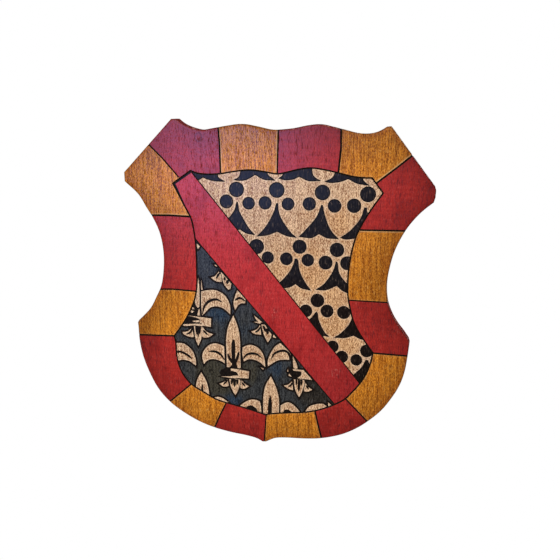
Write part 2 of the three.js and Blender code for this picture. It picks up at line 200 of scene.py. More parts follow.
outline = np.vstack([
    straight((-0.956, 0.598), (-0.96, 0.654), (-0.666, 0.989), (-0.63, 0.992)),
    curve(
        (-0.63, 0.992), (-0.6, 0.97), (-0.572, 0.956), (-0.536, 0.944), (-0.472, 0.933),
        (-0.4, 0.946), (-0.32, 0.963), (-0.228, 0.977), (-0.14, 0.966), (-0.048, 0.951),
        (0.032, 0.957), (0.1, 0.968), (0.168, 0.985), (0.248, 0.995), (0.32, 0.983),
        (0.388, 0.969), (0.46, 0.954), (0.52, 0.952), (0.572, 0.962), (0.608, 0.979),
        (0.634, 0.997),
    ),
    straight(
        (0.634, 0.997), (0.658, 1.0), (0.934, 0.664), (0.942, 0.64), (0.94, 0.6), (0.932, 0.572),
    ),
    curve(
        (0.932, 0.572), (0.884, 0.53), (0.836, 0.478), (0.782, 0.4), (0.728, 0.28),
        (0.7, 0.16), (0.691, 0.06), (0.704, -0.04), (0.738, -0.12), (0.774, -0.174),
        (0.81, -0.216), (0.842, -0.258),
    ),
    straight((0.842, -0.258), (0.85, -0.28)),
    curve(
        (0.85, -0.28), (0.844, -0.368), (0.831, -0.472), (0.804, -0.56), (0.762, -0.64),
        (0.708, -0.72), (0.63, -0.798), (0.56, -0.852), (0.472, -0.9), (0.348, -0.938),
        (0.24, -0.952), (0.128, -0.958), (0.056, -0.968), (-0.004, -0.998),
    ),
    straight((-0.004, -0.998), (-0.024, -1.0)),
    curve(
        (-0.024, -1.0), (-0.064, -0.982), (-0.128, -0.97), (-0.228, -0.959), (-0.34, -0.939),
        (-0.44, -0.908), (-0.548, -0.856), (-0.64, -0.795), (-0.72, -0.712), (-0.784, -0.6),
        (-0.825, -0.5), (-0.848, -0.4), (-0.856, -0.32), (-0.86, -0.29),
    ),
    straight((-0.86, -0.29), (-0.852, -0.274)),
    curve(
        (-0.852, -0.274), (-0.814, -0.234), (-0.776, -0.188), (-0.74, -0.114), (-0.71, -0.04),
        (-0.697, 0.06), (-0.699, 0.168), (-0.722, 0.28), (-0.762, 0.368), (-0.812, 0.442),
        (-0.866, 0.522), (-0.956, 0.598),
    ),
])
print("outline:", len(outline), "points")

# %% [markdown]
# ## The line round the inner shield
#
# The inner shield repeats the outline at a smaller size, but it was drawn by eye, so its
# corners and curves are its own. It parts the border from the arms. It is set out as the
# outline is, because both are closed lines with a few corners.

# %% The line round the inner shield
inner_shield = np.vstack([
    straight((-0.646, 0.602), (-0.536, 0.685)),
    curve(
        (-0.536, 0.685), (-0.496, 0.672), (-0.432, 0.668), (-0.36, 0.674), (-0.28, 0.69),
        (-0.2, 0.704), (-0.144, 0.707), (-0.072, 0.7), (0.0, 0.692), (0.056, 0.704),
        (0.128, 0.725), (0.2, 0.737), (0.28, 0.731), (0.368, 0.716), (0.448, 0.7),
        (0.512, 0.695), (0.566, 0.697),
    ),
    straight((0.566, 0.697), (0.636, 0.612)),
    curve(
        (0.636, 0.612), (0.6, 0.556), (0.56, 0.49), (0.52, 0.414), (0.492, 0.344),
        (0.472, 0.256), (0.461, 0.16), (0.458, 0.06), (0.464, -0.02), (0.48, -0.088),
        (0.504, -0.168), (0.544, -0.24), (0.584, -0.294), (0.634, -0.358),
    ),
    curve(
        (0.634, -0.358), (0.628, -0.408), (0.606, -0.484), (0.568, -0.558), (0.52, -0.622),
        (0.48, -0.668), (0.416, -0.71), (0.336, -0.748), (0.248, -0.775), (0.14, -0.79),
        (0.048, -0.804), (-0.014, -0.818),
    ),
    curve(
        (-0.014, -0.818), (-0.072, -0.804), (-0.16, -0.784), (-0.264, -0.765), (-0.336, -0.748),
        (-0.416, -0.708), (-0.496, -0.666), (-0.548, -0.612), (-0.584, -0.544), (-0.602, -0.464),
        (-0.607, -0.4), (-0.618, -0.357),
    ),
    curve(
        (-0.618, -0.357), (-0.58, -0.301), (-0.54, -0.234), (-0.51, -0.168), (-0.488, -0.1),
        (-0.479, -0.024), (-0.481, 0.064), (-0.487, 0.18), (-0.498, 0.276), (-0.524, 0.388),
        (-0.572, 0.474), (-0.646, 0.602),
    ),
])
print("inner shield:", len(inner_shield), "points")

# %% [markdown]
# ## The border's lines and the bend
#
# Sixteen short lines part the border into red and gold fields, which heralds call compony. The
# bend is the red band from the upper left to the lower right. Its two edges are straight and
# not quite parallel. Two or three points are enough for a line drawn with one stroke.

# %% The sixteen border lines from the edge inwards, and the bend's two edges
DIVIDER_SHARES = [
    [(-0.808, 0.834), (-0.72, 0.756), (-0.612, 0.644)],
    [(-0.374, 0.97), (-0.36, 0.856), (-0.348, 0.68)],
    [(-0.004, 0.97), (0.0, 0.696)],
    [(0.368, 0.99), (0.374, 0.86), (0.366, 0.72)],
    [(0.802, 0.848), (0.712, 0.768), (0.596, 0.67)],
    [(0.8, 0.398), (0.516, 0.386)],
    [(0.72, -0.04), (0.472, -0.044)],
    [(0.86, -0.36), (0.636, -0.36)],
    [(0.644, -0.814), (0.484, -0.664)],
    [(0.356, -0.96), (0.32, -0.84), (0.3, -0.766)],
    [(-0.014, -1.012), (-0.008, -0.82)],
    [(-0.348, -0.96), (-0.304, -0.848), (-0.268, -0.766)],
    [(-0.656, -0.81), (-0.5, -0.664)],
    [(-0.868, -0.37), (-0.74, -0.364), (-0.618, -0.358)],
    [(-0.73, -0.065), (-0.64, -0.058), (-0.48, -0.06)],
    [(-0.8, 0.397), (-0.66, 0.404), (-0.528, 0.404)],
]
BEND_EDGE_SHARES = [[(-0.528, 0.674), (0.564, -0.556)], [(-0.496, 0.27), (0.42, -0.708)]]
dividers = [from_shares(line) for line in DIVIDER_SHARES]
bend_edges = [from_shares(line) for line in BEND_EDGE_SHARES]
print("border lines:", len(dividers), "edges of the bend:", len(bend_edges))

# %% [markdown]
# ## The ermine
#
# The upper right half of the inner shield is ermine: rows of black tails, each under three
# spots, on bare wood. They were painted by hand, so no two are alike, and each gets its own
# few points. A tail may run on under the bend or past the line round the inner shield, because
# the planning step clips it there.

# %% Ermine spots: x, z and radius
ERMINE_SPOTS = [
    (-61.5, 146.5, 11.8), (0.3, 149, 12), (69.5, 149, 11.7), (137, 150, 11.8),
    (-76.5, 127.5, 10.8), (-42, 126.8, 9.8), (-16.7, 128.7, 10.2), (18.3, 129, 9.8),
    (50.5, 131, 10.2), (88.5, 130.2, 10.3), (117.5, 132, 10.8),
    (-27.3, 61.5, 11.7), (38.8, 65.5, 10.9), (95.7, 64.5, 11),
    (-9.3, 45.8, 9.5), (19.5, 45.8, 9.9), (52.3, 46, 9.6), (79.5, 44, 10.7), (112, 45.3, 10.6),
    (70, -15, 10.6), (53, -32.5, 9.9), (85.5, -30.3, 10), (111, -30.5, 10.2),
    (97, -85, 9.4), (149, -87.5, 10), (112, -100, 9.6), (134.3, -103, 9.1),
]
print("ermine:", len(ERMINE_SPOTS), "spots")

# %% Ermine tails
ERMINE_TAILS = [
    shape(
        [(-80, 157.6), (-92, 156.6), (-108, 159.1), (-114, 161.6)],
        [(-120, 157.6), (-131, 153.1)],
        [(-136, 179.1), (-100, 181.1), (-86, 175.1)],
        [(-90, 167.1), (-90.5, 164.6), (-88, 162.1)],
    ),
    shape(
        [(-66, 160.6), (-55, 159.6), (-45, 162.1), (-33.5, 169.6)],
        [(-20, 163.1), (-3, 163.1)],
        [(-8, 167.1), (-14, 172.1), (-15, 183.1)],
        [(-56, 185.1)],
        [(-57, 170.6), (-60, 164.6)],
    ),
    shape(
        [(3, 166.6), (12, 164.1), (24, 165.6), (33.5, 170.1)],
        [(48, 164.6), (66, 166.1)],
        [(60, 169.1), (54, 175.1), (52, 189.1)],
        [(8, 189.1)],
        [(8, 171.6)],
    ),
    shape(
        [(72.5, 165.6), (80, 163.6), (96, 166.1), (106.5, 170.6)],
        [(120, 164.6), (138.3, 162.9)],
        [(132, 167.6), (129, 171.1), (128, 183.1)],
        [(88, 189.1)],
        [(84, 173.6), (78, 168.6)],
    ),
    shape(
        [(-61, 127.8), (-64, 115.3), (-72, 103.3), (-88, 87.3)],
        [(-70, 81.8), (-54, 85.8)],
        [(-44, 80.3), (-31, 79.3)],
        [(-40, 89.3), (-50, 104.3), (-56, 114.8), (-59, 127.8)],
    ),
    shape(
        [(0, 129.3), (-3, 116.3), (-12, 97.3), (-19, 87.3), (-27, 77.3)],
        [(-12, 79.3), (3.5, 85.8)],
        [(20, 79.8), (33, 79.3)],
        [(24, 87.3), (9, 107.3), (4.5, 119.3), (3, 129.3)],
    ),
    shape(
        [(68.3, 130.3), (62, 112.3), (46, 91.3), (37.5, 80.8)],
        [(56, 79.6), (67.5, 86.3)],
        [(80, 80.8), (96.5, 81.3)],
        [(84, 95.3), (74, 118.3), (70.8, 130.3)],
    ),
    shape(
        [(132.5, 130.3), (128, 114.3), (114, 95.3), (100, 83.3)],
        [(108, 80.8), (122, 83.3)],
        [(142, 83.3)],
        [(158, 123.3)],
        [(138, 123.3), (136.5, 130.3)],
    ),
    shape(
        [(32.5, 47), (28, 32), (16, 14.5), (4, 3)],
        [(10, -4), (19, 0), (28, 2.5), (35, 7.5)],
        [(45, 1.5), (59, 0)],
        [(52, 9), (41, 28), (36.5, 47)],
    ),
    shape(
        [(94.8, 46.5), (91, 32), (79, 12), (67, 1.5)],
        [(82, 1.5), (98, 9.5)],
        [(108, 2), (125, -3)],
        [(125, 8), (112, 16), (101, 30), (97.2, 46.5)],
    ),
    shape(
        [(68.2, -33), (62, -42), (50, -55)],
        [(66, -78), (81, -70), (90.5, -70)],
        [(84, -64), (74, -46), (70.6, -33)],
    ),
    shape(
        [(124, -37), (120, -48), (108, -63), (99, -70.5)],
        [(114, -70.5), (128, -65.5)],
        [(138, -70), (152, -72)],
        [(150, -50)],
        [(136, -36)],
    ),
    shape(
        [(148.3, -101.5), (143, -113), (133, -124.5), (124, -132)],
        [(141, -150)],
        [(164, -140)],
        [(166, -112), (155, -108)],
        [(151.7, -101.5)],
    ),
]
print("ermine:", len(ERMINE_TAILS), "tails")

# %% [markdown]
# ## The fleurs-de-lis
#
# The lower left half is strewn with fleurs-de-lis left in bare wood on a blue-black ground. A
# flower is three petals, a bar across them and a small foot of three leaves, each ringed with
# a black line and veined with short brush lines. Many are cut off by the bend or by the line
# round the shield, so the leaves are listed one by one and not stamped from one flower.

# %% Bare wood: the flowers beside the bend and at the left
FLEUR_WOOD = [
    # A scrap at the top, and the foot of the flower under the bend
    shape([(-121.5, 60)], [(-116.5, 56)], [(-119.5, 51.5)]),
    shape([(-92.5, 29)], [(-90, 28.5)], [(-88, 26.5)], [(-90.5, 27)]),
    shape(
        [(-97.5, 8.5), (-92, 10.5), (-88.5, 14), (-85.5, 18.5)],
        [(-82, 13.5), (-80, 3)],
        [(-88, 2.8), (-94, 6)],
    ),
    shape(
        [(-82, 18.5), (-75.5, 12), (-69.5, 5.5), (-65, 1)],
        [(-65.5, -4), (-66.5, -7), (-69, -8.8)],
        [(-75, -2.5), (-79.5, 8)],
    ),
    # A petal beside the bend
    shape(
        [(-55, -8.5), (-42, -21.5)],
        [(-42, -28)],
        [(-48, -28.5), (-53, -32), (-57.5, -40)],
        [(-60.3, -30), (-58, -17)],
    ),
    # The flower cut by the left side
    shape(
        [(-117.5, 7), (-115.8, -8), (-114.8, -25), (-114.8, -39)],
        [(-117, -41), (-120.3, -37.5), (-122.2, -30), (-121.6, -18), (-119.2, -6)],
    ),
    shape([(-112.9, 4), (-110.4, -12)], [(-113, -12)]),
    shape(
        [
            (-113, -15), (-105, -12.5), (-95, -11), (-88, -11.5), (-80, -14.5), (-73, -20), (-68, -28),
            (-65.5, -36), (-65, -47.5),
        ],
        [(-70, -43), (-77, -38.5), (-84, -36.5), (-92, -37), (-98, -39.5), (-103, -45), (-110, -53)],
        [(-112, -35)],
    ),
    shape([(-114.8, -41), (-113.5, -53)], [(-117.5, -53)]),
    shape([(-126, -40)], [(-122.5, -43.5)], [(-126, -44)]),
    shape([(-129, -46)], [(-123, -47)], [(-127, -50)]),
    shape(
        [(-134, -54.8), (-117, -55.4), (-95.5, -56.5)],
        [(-95.5, -70)],
        [(-109, -69)],
        [(-109, -66)],
        [(-114, -64.6)],
        [(-112.6, -61), (-116, -58)],
    ),
    shape([(-125, -62.6), (-114.5, -60.8)], [(-114, -63.4), (-125, -63.8)]),
    shape([(-141, -69.6), (-124, -67.4), (-108, -66)], [(-108, -69.2), (-122, -69.8), (-140, -71.6)]),
    shape([(-141, -82), (-133, -80.5), (-126, -74)], [(-122.5, -88.5)], [(-129, -89), (-140, -84.5)]),
    shape([(-122.5, -71), (-120, -90), (-115, -102)], [(-110.5, -90), (-110, -71)]),
    shape(
        [(-108.7, -71), (-104, -77), (-98, -80), (-91.5, -81.5)],
        [(-97, -86), (-103, -88), (-108.7, -87)],
    ),
]
print("flowers:", len(FLEUR_WOOD), "shapes of bare wood")

# %% Bare wood: the whole flower
FLEUR_WOOD += [
    shape(
        [(-60, -49), (-53, -65), (-48.5, -85), (-47.3, -105), (-45.8, -132.5)],
        [(-67.8, -132.5)],
        [(-68.5, -120), (-69.5, -105), (-70.3, -85), (-67, -65)],
    ),
    shape(
        [
            (-73.5, -99.5), (-80, -97), (-86, -96), (-92, -97), (-98, -100), (-106.5, -111),
            (-108, -119), (-105, -131),
        ],
        [(-101, -126), (-95, -122.5), (-88, -121.5), (-77, -124), (-71.5, -127)],
        [(-72.5, -112)],
    ),
    shape(
        [(-43.5, -98.5), (-37, -95), (-30, -93.5), (-18, -98), (-9.5, -110), (-6.5, -127)],
        [(-14, -121), (-20, -118), (-27, -116.5), (-34, -117), (-41, -121)],
        [(-43.5, -110)],
    ),
    shape([(-14, -128)], [(-10, -131.5)], [(-9, -130)]),
    shape(
        [(-61, -134.4), (-50, -134.8), (-32, -136.5)],
        [(-32.5, -148)],
        [(-50, -148.8)],
        [(-49.6, -142.4), (-52.5, -139.4)],
        [(-61.4, -137.2)],
    ),
    shape([(-77, -149), (-62, -147.2), (-56, -145.6), (-50, -145.2)], [(-50, -148.8)]),
    shape([(-79, -161), (-71, -157), (-66.5, -151.8)], [(-63.5, -163)], [(-72, -165)]),
    shape([(-63.3, -151.8), (-61, -162), (-57, -171), (-52.5, -177.5)], [(-48.5, -168), (-46, -151.8)]),
    shape([(-43.5, -152), (-38.5, -157), (-31.5, -160.5)], [(-38, -165), (-44.7, -164.5)]),
]
print("flowers:", len(FLEUR_WOOD), "shapes of bare wood")

# %% Bare wood: the flowers at the bend's middle and right, and along the lower edge
FLEUR_WOOD += [
    # The foot under the middle of the bend
    shape([(-27.5, -46), (-14, -56)], [(-19, -57)], [(-24, -52)]),
    shape([(-27, -56.5), (-16, -55)], [(-17, -58)]),
    shape([(-31, -72), (-24, -69), (-20, -65.5), (-17.5, -60.5)], [(-15, -76)], [(-27, -74.8)]),
    shape(
        [(-15.3, -59.5), (-12.5, -70), (-8.5, -80), (-4, -87)],
        [(0, -80), (1.7, -74)],
        [(-3.5, -69), (-9.5, -60)],
    ),
    shape([(4.5, -74)], [(9, -79)], [(4, -78)]),
    # The flower cut by the bend on the right
    shape(
        [(15.5, -86.5), (8, -92.5), (4, -99), (0, -107), (-3, -118), (-2.5, -125.5)],
        [(4, -120.5), (10, -116), (18, -113), (30.2, -112)],
        [(33, -104)],
    ),
    shape([(36.2, -106), (43, -119), (44.5, -124.8)], [(38.8, -124.8)]),
    shape([(29.5, -127), (30.3, -131)], [(28.5, -131)]),
    shape([(31.5, -134), (35.5, -138.5)], [(31, -137.5)]),
    shape(
        [(37, -126), (45, -126.5), (54, -126.5)],
        [(56, -129)],
        [(68, -141)],
        [(45, -140.3)],
        [(51, -134), (50, -129.5), (38, -128.5)],
    ),
    shape([(24, -154.3), (31, -152), (36.5, -146.5)], [(38.8, -160)], [(32, -159)]),
    shape([(39.5, -142.8), (41.5, -156), (45, -165), (49, -170.5)], [(53.5, -160), (55.5, -142.8)]),
    shape([(57.8, -147), (62, -152.5), (68.8, -156.8)], [(63, -160), (56.5, -160.2)]),
    # The flowers cut by the lower edge
    shape(
        [(3, -141.5), (-4.5, -156), (-7.5, -175), (-6.5, -206)],
        [(18, -206)],
        [(17, -176), (11.5, -158)],
    ),
    shape(
        [(-9.7, -206), (-11, -192), (-13, -184)],
        [(-19, -182), (-28, -182.5), (-40, -190), (-46, -198)],
    ),
    shape([(20.5, -206), (20.5, -187)], [(28, -182), (34, -181), (45, -188), (52, -199)]),
    shape([(59, -195), (64, -186), (72, -181), (86, -178), (92.5, -181)], [(84, -187.5), (66, -193)]),
    shape([(94.5, -174.5)], [(102, -180.5)], [(97, -184)]),
    shape([(-109, -145), (-115, -157), (-117.5, -172)], [(-95, -182)], [(-97, -170), (-101, -158)]),
    shape([(-87, -184.7), (-80, -183), (-72, -185), (-63.5, -190.5)], [(-72, -191), (-82, -188)]),
    shape(
        [(-152, -101), (-144, -100.2), (-138, -101), (-125, -110.5), (-118.5, -126), (-118, -135)],
        [(-127, -129), (-134, -127.3), (-140, -127), (-150, -128.5)],
    ),
]

print("flowers:", len(FLEUR_WOOD), "shapes of bare wood")

# %% [markdown]
# ### Veins and blots
#
# The petals and leaves are veined with short strokes of a thin brush, and black has run into
# blots beside the bars. A stroke is wide in its middle and thin at its ends, so it needs only
# a row of points and a width. The few shapes that aren't strokes are outlined.

# %% Black brush lines inside the flowers
FLEUR_INK = [
    brush_line([(-83.5, 17), (-86, 13), (-89, 7.5)], 2.6),
    brush_line([(-70.5, 7), (-71.5, 0)], 3.2),
    brush_line([(-76, 11), (-75, 5)], 2.4),
    brush_line([(-58, -25), (-55, -22), (-50, -20.5), (-42, -24.5)], 2.6),
    brush_line([(-114.3, 4), (-113.6, -20), (-113, -40)], 1.7, 1, 1),
    brush_line(
        [
            (-109.5, -51), (-107.5, -40), (-104, -33.5), (-98, -28.5), (-92, -26), (-86, -25.8),
            (-79, -28.8),
        ],
        3,
    ),
    brush_line([(-125.5, -74), (-128, -81), (-135, -85.5)], 2.4),
    brush_line([(-119.2, -70), (-117.6, -84)], 2.6, 1, 0.2),
    brush_line([(-115.8, -70), (-115.6, -89)], 2.2, 1, 0.2),
    brush_line([(-112.6, -70), (-113.4, -83)], 2.2, 1, 0.2),
    brush_line([(-108.2, -76), (-100, -83.5)], 2.4),
    brush_line([(-58.6, -87), (-58.5, -100), (-57.3, -124)], 4.4, 0.3, 1),
    brush_line([(-67, -111), (-64, -118), (-58, -126)], 3, 0.3, 1),
    brush_line([(-49.3, -106), (-51.5, -116), (-55, -126)], 3, 0.3, 1),
    shape([(-61, -122), (-53, -122)], [(-52, -128), (-49, -134.5)], [(-66, -134.5)], [(-60, -128)]),
    brush_line([(-98, -109.8), (-90, -109), (-83, -110.5), (-77, -114.5), (-72, -121.5)], 2.7),
    brush_line([(-42, -117), (-38, -111), (-33, -108), (-27, -107), (-20, -108), (-12.5, -113)], 2.7),
    brush_line([(-66, -152.5), (-68.5, -157), (-72.5, -161.5)], 2.2),
    brush_line([(-58.8, -151), (-59.3, -160.5)], 2.6, 1, 0.2),
    brush_line([(-54.8, -151), (-54.5, -164)], 3.2, 1, 0.2),
    brush_line([(-50.2, -151), (-50.3, -160)], 2.6, 1, 0.2),
    brush_line([(-60, -153.8), (-49, -153.8)], 2.4),
    brush_line([(-43, -155), (-37.5, -161.5)], 2.2),
    brush_line([(-17, -63.5), (-19.5, -69), (-25, -73)], 2.2),
    brush_line([(-12, -61), (-8.5, -71)], 2.4, 1, 0.2),
    brush_line([(-7, -65), (-4, -75)], 3, 1, 0.2),
    brush_line(
        [(2.5, -114), (6, -105.5), (12, -101), (19, -98.5), (25, -98.8), (30, -103), (33, -112)],
        2.7,
        0.25,
        1,
    ),
    brush_line([(37, -148), (35, -152.5), (31, -156)], 2.2),
    brush_line([(43.5, -142), (43.8, -152)], 2.2, 1, 0.2),
    brush_line([(47.8, -142), (47.8, -162)], 3.2, 1, 0.2),
    brush_line([(51.8, -142), (51.5, -152)], 2.2, 1, 0.2),
    brush_line([(58.5, -150.5), (63.5, -156.5)], 2.2),
    shape([(3.2, -171), (0.5, -182), (0.5, -206)], [(7, -206)], [(6, -182)]),
    shape([(-36, -206), (-34.5, -195.5), (-27, -191.5), (-17.5, -196)], [(-16, -206)]),
    shape([(24, -206), (26, -194.5), (32, -192.5), (39, -196)], [(42, -206)]),
    shape([(-106.6, -163), (-108.4, -170), (-108, -182)], [(-104, -182)], [(-105.3, -170)]),
    brush_line([(-152, -115.5), (-143, -114.5), (-131, -119.5), (-124.5, -124.5)], 2.6, 1, 0.2),
]
print("flowers:", len(FLEUR_INK), "brush lines")

# %% Blots at the ends of the bars, under the shapes of bare wood
FLEUR_BLOTS = [
    shape(
        [(-77.5, -138), (-70, -134.4), (-62, -134.6)],
        [(-50, -136)],
        [(-50, -146)],
        [(-62, -147), (-73, -148.4), (-79, -144)],
    ),
    shape([(-132, -55), (-112, -56)], [(-110, -68)], [(-126, -68), (-138, -70)]),
    shape([(-126, -16), (-121, -26), (-115, -42)], [(-115, -54), (-133, -54)]),
    shape([(27, -127.5), (38, -126), (50, -128)], [(54, -134)], [(50, -141), (36, -141), (29, -138)]),
]
print("flowers:", len(FLEUR_BLOTS), "blots")

# %% [markdown]
# ## Measuring on the face
#
# A painter sees at once whether a spot lies inside a line and how far it is from the edge. The
# script needs three small tests for that: inside a closed line, distance from a line, and a
# line kept beside another. They work on whole arrays of points, because the face will have
# tens of thousands.

# %% Tests on points of the face
def inside(points, loop):
    """Which points lie inside a closed outline."""
    hit = np.zeros(len(points), bool)
    low, high = loop.min(0), loop.max(0)
    near = np.flatnonzero(np.all((points >= low) & (points <= high), axis=1))
    x, z = points[near, 0], points[near, 1]
    odd = np.zeros(len(near), bool)
    for (ax, az), (bx, bz) in zip(loop, np.roll(loop, -1, axis=0)):
        if az == bz:
            continue
        odd ^= ((az > z) != (bz > z)) & (x < (bx - ax) * (z - az) / (bz - az) + ax)
    hit[near] = odd
    return hit


def distance(points, line, closed=False, reach=60.0):
    """How far each point is from a line, up to reach."""
    ends = np.roll(line, -1, axis=0) if closed else line[1:]
    starts = line if closed else line[:-1]
    best = np.full(len(points), reach)
    near = np.flatnonzero(
        np.all((points >= line.min(0) - reach) & (points <= line.max(0) + reach), axis=1)
    )
    p = points[near]
    least = np.full(len(near), reach)
    for a, b in zip(starts, ends):
        along = b - a
        t = np.clip(((p - a) @ along) / max(along @ along, 1e-9), 0, 1)
        least = np.minimum(least, np.linalg.norm(p - a - t[:, None] * along, axis=1))
    best[near] = least
    return best


def beside(line, offset, closed=False):
    """A line kept at one distance beside another, to its left where offset is positive."""
    if closed:
        before, after = np.roll(line, 1, axis=0), np.roll(line, -1, axis=0)
    else:
        before = np.vstack([line[:1], line[:-1]])
        after = np.vstack([line[1:], line[-1:]])

    def unit(v):
        return v / np.maximum(np.linalg.norm(v, axis=1), 1e-9)[:, None]

    into, out = unit(line - before), unit(after - line)
    if not closed:
        into[0], out[-1] = out[0], into[-1]
    along = unit(into + out)
    side = np.column_stack([-along[:, 1], along[:, 0]])
    # At a corner the line beside it has further to go, but never more than twice as far
    turn = np.clip((along * into).sum(1), 0.5, 1)
    return line + side * (offset / turn)[:, None]


edge_gap = distance(np.zeros((1, 2)), outline, True, HALF_BLANK)[0]
print("the middle of the face lies", round(float(edge_gap), 1), "mm from the nearest edge")

# %% [markdown]
# ## Plan the painted face
#
# Every line of the drawing becomes a row of mesh edges. A constrained triangulation of the
# whole face holds them all, so each triangle lies in one field only and every painted edge
# stays crisp at any distance, with no picture. Loose points between the lines keep the
# triangles small, because long ones shade badly beside the grooves.

# %% Widths of the lines, depths and distances, in millimetres
SHIELD_LINE = 2.5
BEND_LINES = [1.8, 1.7]
DIVIDER_LINES = [2.3, 2.7, 2.5, 2.9, 2.8, 2.7, 2.1, 2.6, 2.4, 2.8, 2.2, 2.6, 2.4, 2.8, 2.5, 3.0]
# How deep a groove is for each millimetre of its width
LINE_DEPTH = 0.28
# The front edge is rounded over by sanding, in steps of these angles
ROUND = 1.7
ROUND_ANGLES = (0, 22.5, 45, 67.5)
# Loose points, and points along straight lines, are about this far apart
GRID = 5.0
# Black round the bare wood shapes, and the band inside the ermine marks that their outline fills
RING_WIDTH = 3.0
BRIM = 1.5
# A border line is drawn out past the edge, and a little into the line round the inner shield
DIVIDER_OVERRUN = (8.0, 1.0)
# The joints are drawn out past the board, and points closer than CLOSE are one point
JOINT_REACH = 1.1 * HALF_BLANK
CLOSE = 1e-3
print("the inner shield's line is", round(SHIELD_LINE * LINE_DEPTH, 2), "mm deep")

# %% The black end of the bend, and the thick stretch of the line beside it
BEND_END = shape(
    [(-165, 150), (-134, 175)],
    [(-132.4, 168)],
    [(-157, 149.8)],
    [(-149, 134), (-141, 117.8), (-134.4, 106), (-129, 95.5), (-125.2, 80), (-123.6, 69)],
    [(-128, 69)],
    [(-150, 118)],
)
print("the bend's end:", len(BEND_END), "points")

# %% Gather lines and points, and triangulate them
class Drawing:
    """Points and edges on the face, gathered for one triangulation."""

    def __init__(self):
        self.points, self.edges = [], []

    def add(self, line, closed=False):
        """One line, with an edge between each two of its points."""
        first = len(self.points)
        self.points.extend(Vector((float(x), float(z))) for x, z in line)
        count = len(line)
        last = count if closed else count - 1
        self.edges.extend((first + i, first + (i + 1) % count) for i in range(last))

    def scatter(self, step):
        """Loose points between the lines, so that no triangle is very long."""
        places = np.arange(-HALF_BLANK + step / 2, HALF_BLANK, step)
        for i, x in enumerate(places):
            shift = step / 2 if i % 2 else 0
            self.points.extend(Vector((float(x), float(z + shift))) for z in places)

    def triangulate(self):
        """The plan's points and its triangles on the board, all counter-clockwise."""
        made = delaunay_2d_cdt(self.points, self.edges, [], 0, CLOSE, False)
        points, faces = np.array([tuple(v) for v in made[0]]), np.array(made[2])
        a, b, c = (points[faces[:, i]] for i in range(3))
        (bx, bz), (cx, cz) = (b - a).T, (c - a).T
        clockwise = bx * cz < bz * cx
        faces[clockwise] = faces[clockwise][:, ::-1]
        return points, faces[inside(points[faces].mean(axis=1), outline)]


square = Drawing()
square.add([(-1, -1), (1, -1), (1, 1), (-1, 1)], closed=True)
print("a square becomes", len(square.triangulate()[1]), "triangles")

# %% [markdown]
# ### Fit the lines to each other
#
# Drawn lines overrun each other, as a ruling pen does, and a long straight needs points along
# it, so that the triangles beside it stay small. The ermine marks and flowers are ringed by
# outlines kept beside them, and a round brush leaves their sharp tips fuller.

# %% Lengthen, divide, widen and round lines
def extended(line, start, end):
    """An open line with both its ends drawn out."""
    line = np.array(line, float)
    first, last = line[0] - line[1], line[-1] - line[-2]
    line[0] += first / np.linalg.norm(first) * start
    line[-1] += last / np.linalg.norm(last) * end
    return line


def divided(line, step):
    """The same line with more points, so that no triangle beside it is very long."""
    parts = []
    for a, b in zip(line, line[1:]):
        count = max(1, round(float(np.linalg.norm(b - a)) / step))
        parts.append(a + (b - a) * np.linspace(0, 1, count, endpoint=False)[:, None])
    return np.vstack([*parts, line[-1:]])


def widened(loop, by):
    """A closed outline grown outwards."""
    ahead = np.roll(loop, -1, axis=0)
    turning = (loop[:, 0] * ahead[:, 1] - loop[:, 1] * ahead[:, 0]).sum()
    return beside(loop, -by if turning > 0 else by, closed=True)


def fuller_tips(loop, sharpest=60.0, reach=9.0, by=0.7):
    """A closed shape with its sharp tips made fuller, as a round brush leaves them."""
    back, ahead = np.roll(loop, 1, axis=0) - loop, np.roll(loop, -1, axis=0) - loop
    lengths = np.linalg.norm(back, axis=1) * np.linalg.norm(ahead, axis=1)
    tips = loop[(back * ahead).sum(axis=1) / lengths > math.cos(math.radians(sharpest))]
    away = np.linalg.norm(loop[:, None] - tips[None], axis=2).min(axis=1, initial=reach)
    return loop + (widened(loop, by) - loop) * np.clip(1 - away / reach, 0, 1)[:, None]


border_lines = [divided(extended(line, *DIVIDER_OVERRUN), GRID) for line in dividers]
print("points on each border line:", [len(line) for line in border_lines])

# %% Put all lines into one drawing
drawn_lines = [(inner_shield, True, SHIELD_LINE)]
drawn_lines += [(line, False, width) for line, width in zip(border_lines, DIVIDER_LINES)]
drawn_lines += [(divided(line, GRID), False, width) for line, width in zip(bend_edges, BEND_LINES)]
rim_lines = [beside(outline, -ROUND * (1 - math.sin(math.radians(a))), True) for a in ROUND_ANGLES]
ermine_marks = [fuller_tips(tail) for tail in ERMINE_TAILS] + [spot(*mark) for mark in ERMINE_SPOTS]
flower_rings = [widened(mark, RING_WIDTH) for mark in FLEUR_WOOD]
brims = [widened(mark, -BRIM) for mark in ermine_marks]

drawing = Drawing()
for loop in [outline, *rim_lines, BEND_END, *FLEUR_BLOTS, *FLEUR_WOOD, *FLEUR_INK, *ermine_marks]:
    drawing.add(loop, closed=True)
for loop in flower_rings + brims:
    drawing.add(loop, closed=True)
for x in JOINTS:
    drawing.add(divided(np.array([[x, -JOINT_REACH], [x, JOINT_REACH]]), GRID))
for line, closed, width in drawn_lines:
    drawing.add(line, closed)
    for offset in (width / 2, -width / 2):
        drawing.add(beside(line, offset, closed), closed)
drawing.scatter(GRID)
plan, triangles = drawing.triangulate()
print("plan:", len(plan), "points,", len(triangles), "triangles")

# %% [markdown]
# ## Lay the paints over each other
#
# On the board each paint partly covers the one before: fields first, then marks, then the dark
# lines. So each triangle takes the paint of the last layer that covers its middle. The order
# of the layers is the painter's order, and it can be read from top to bottom here.

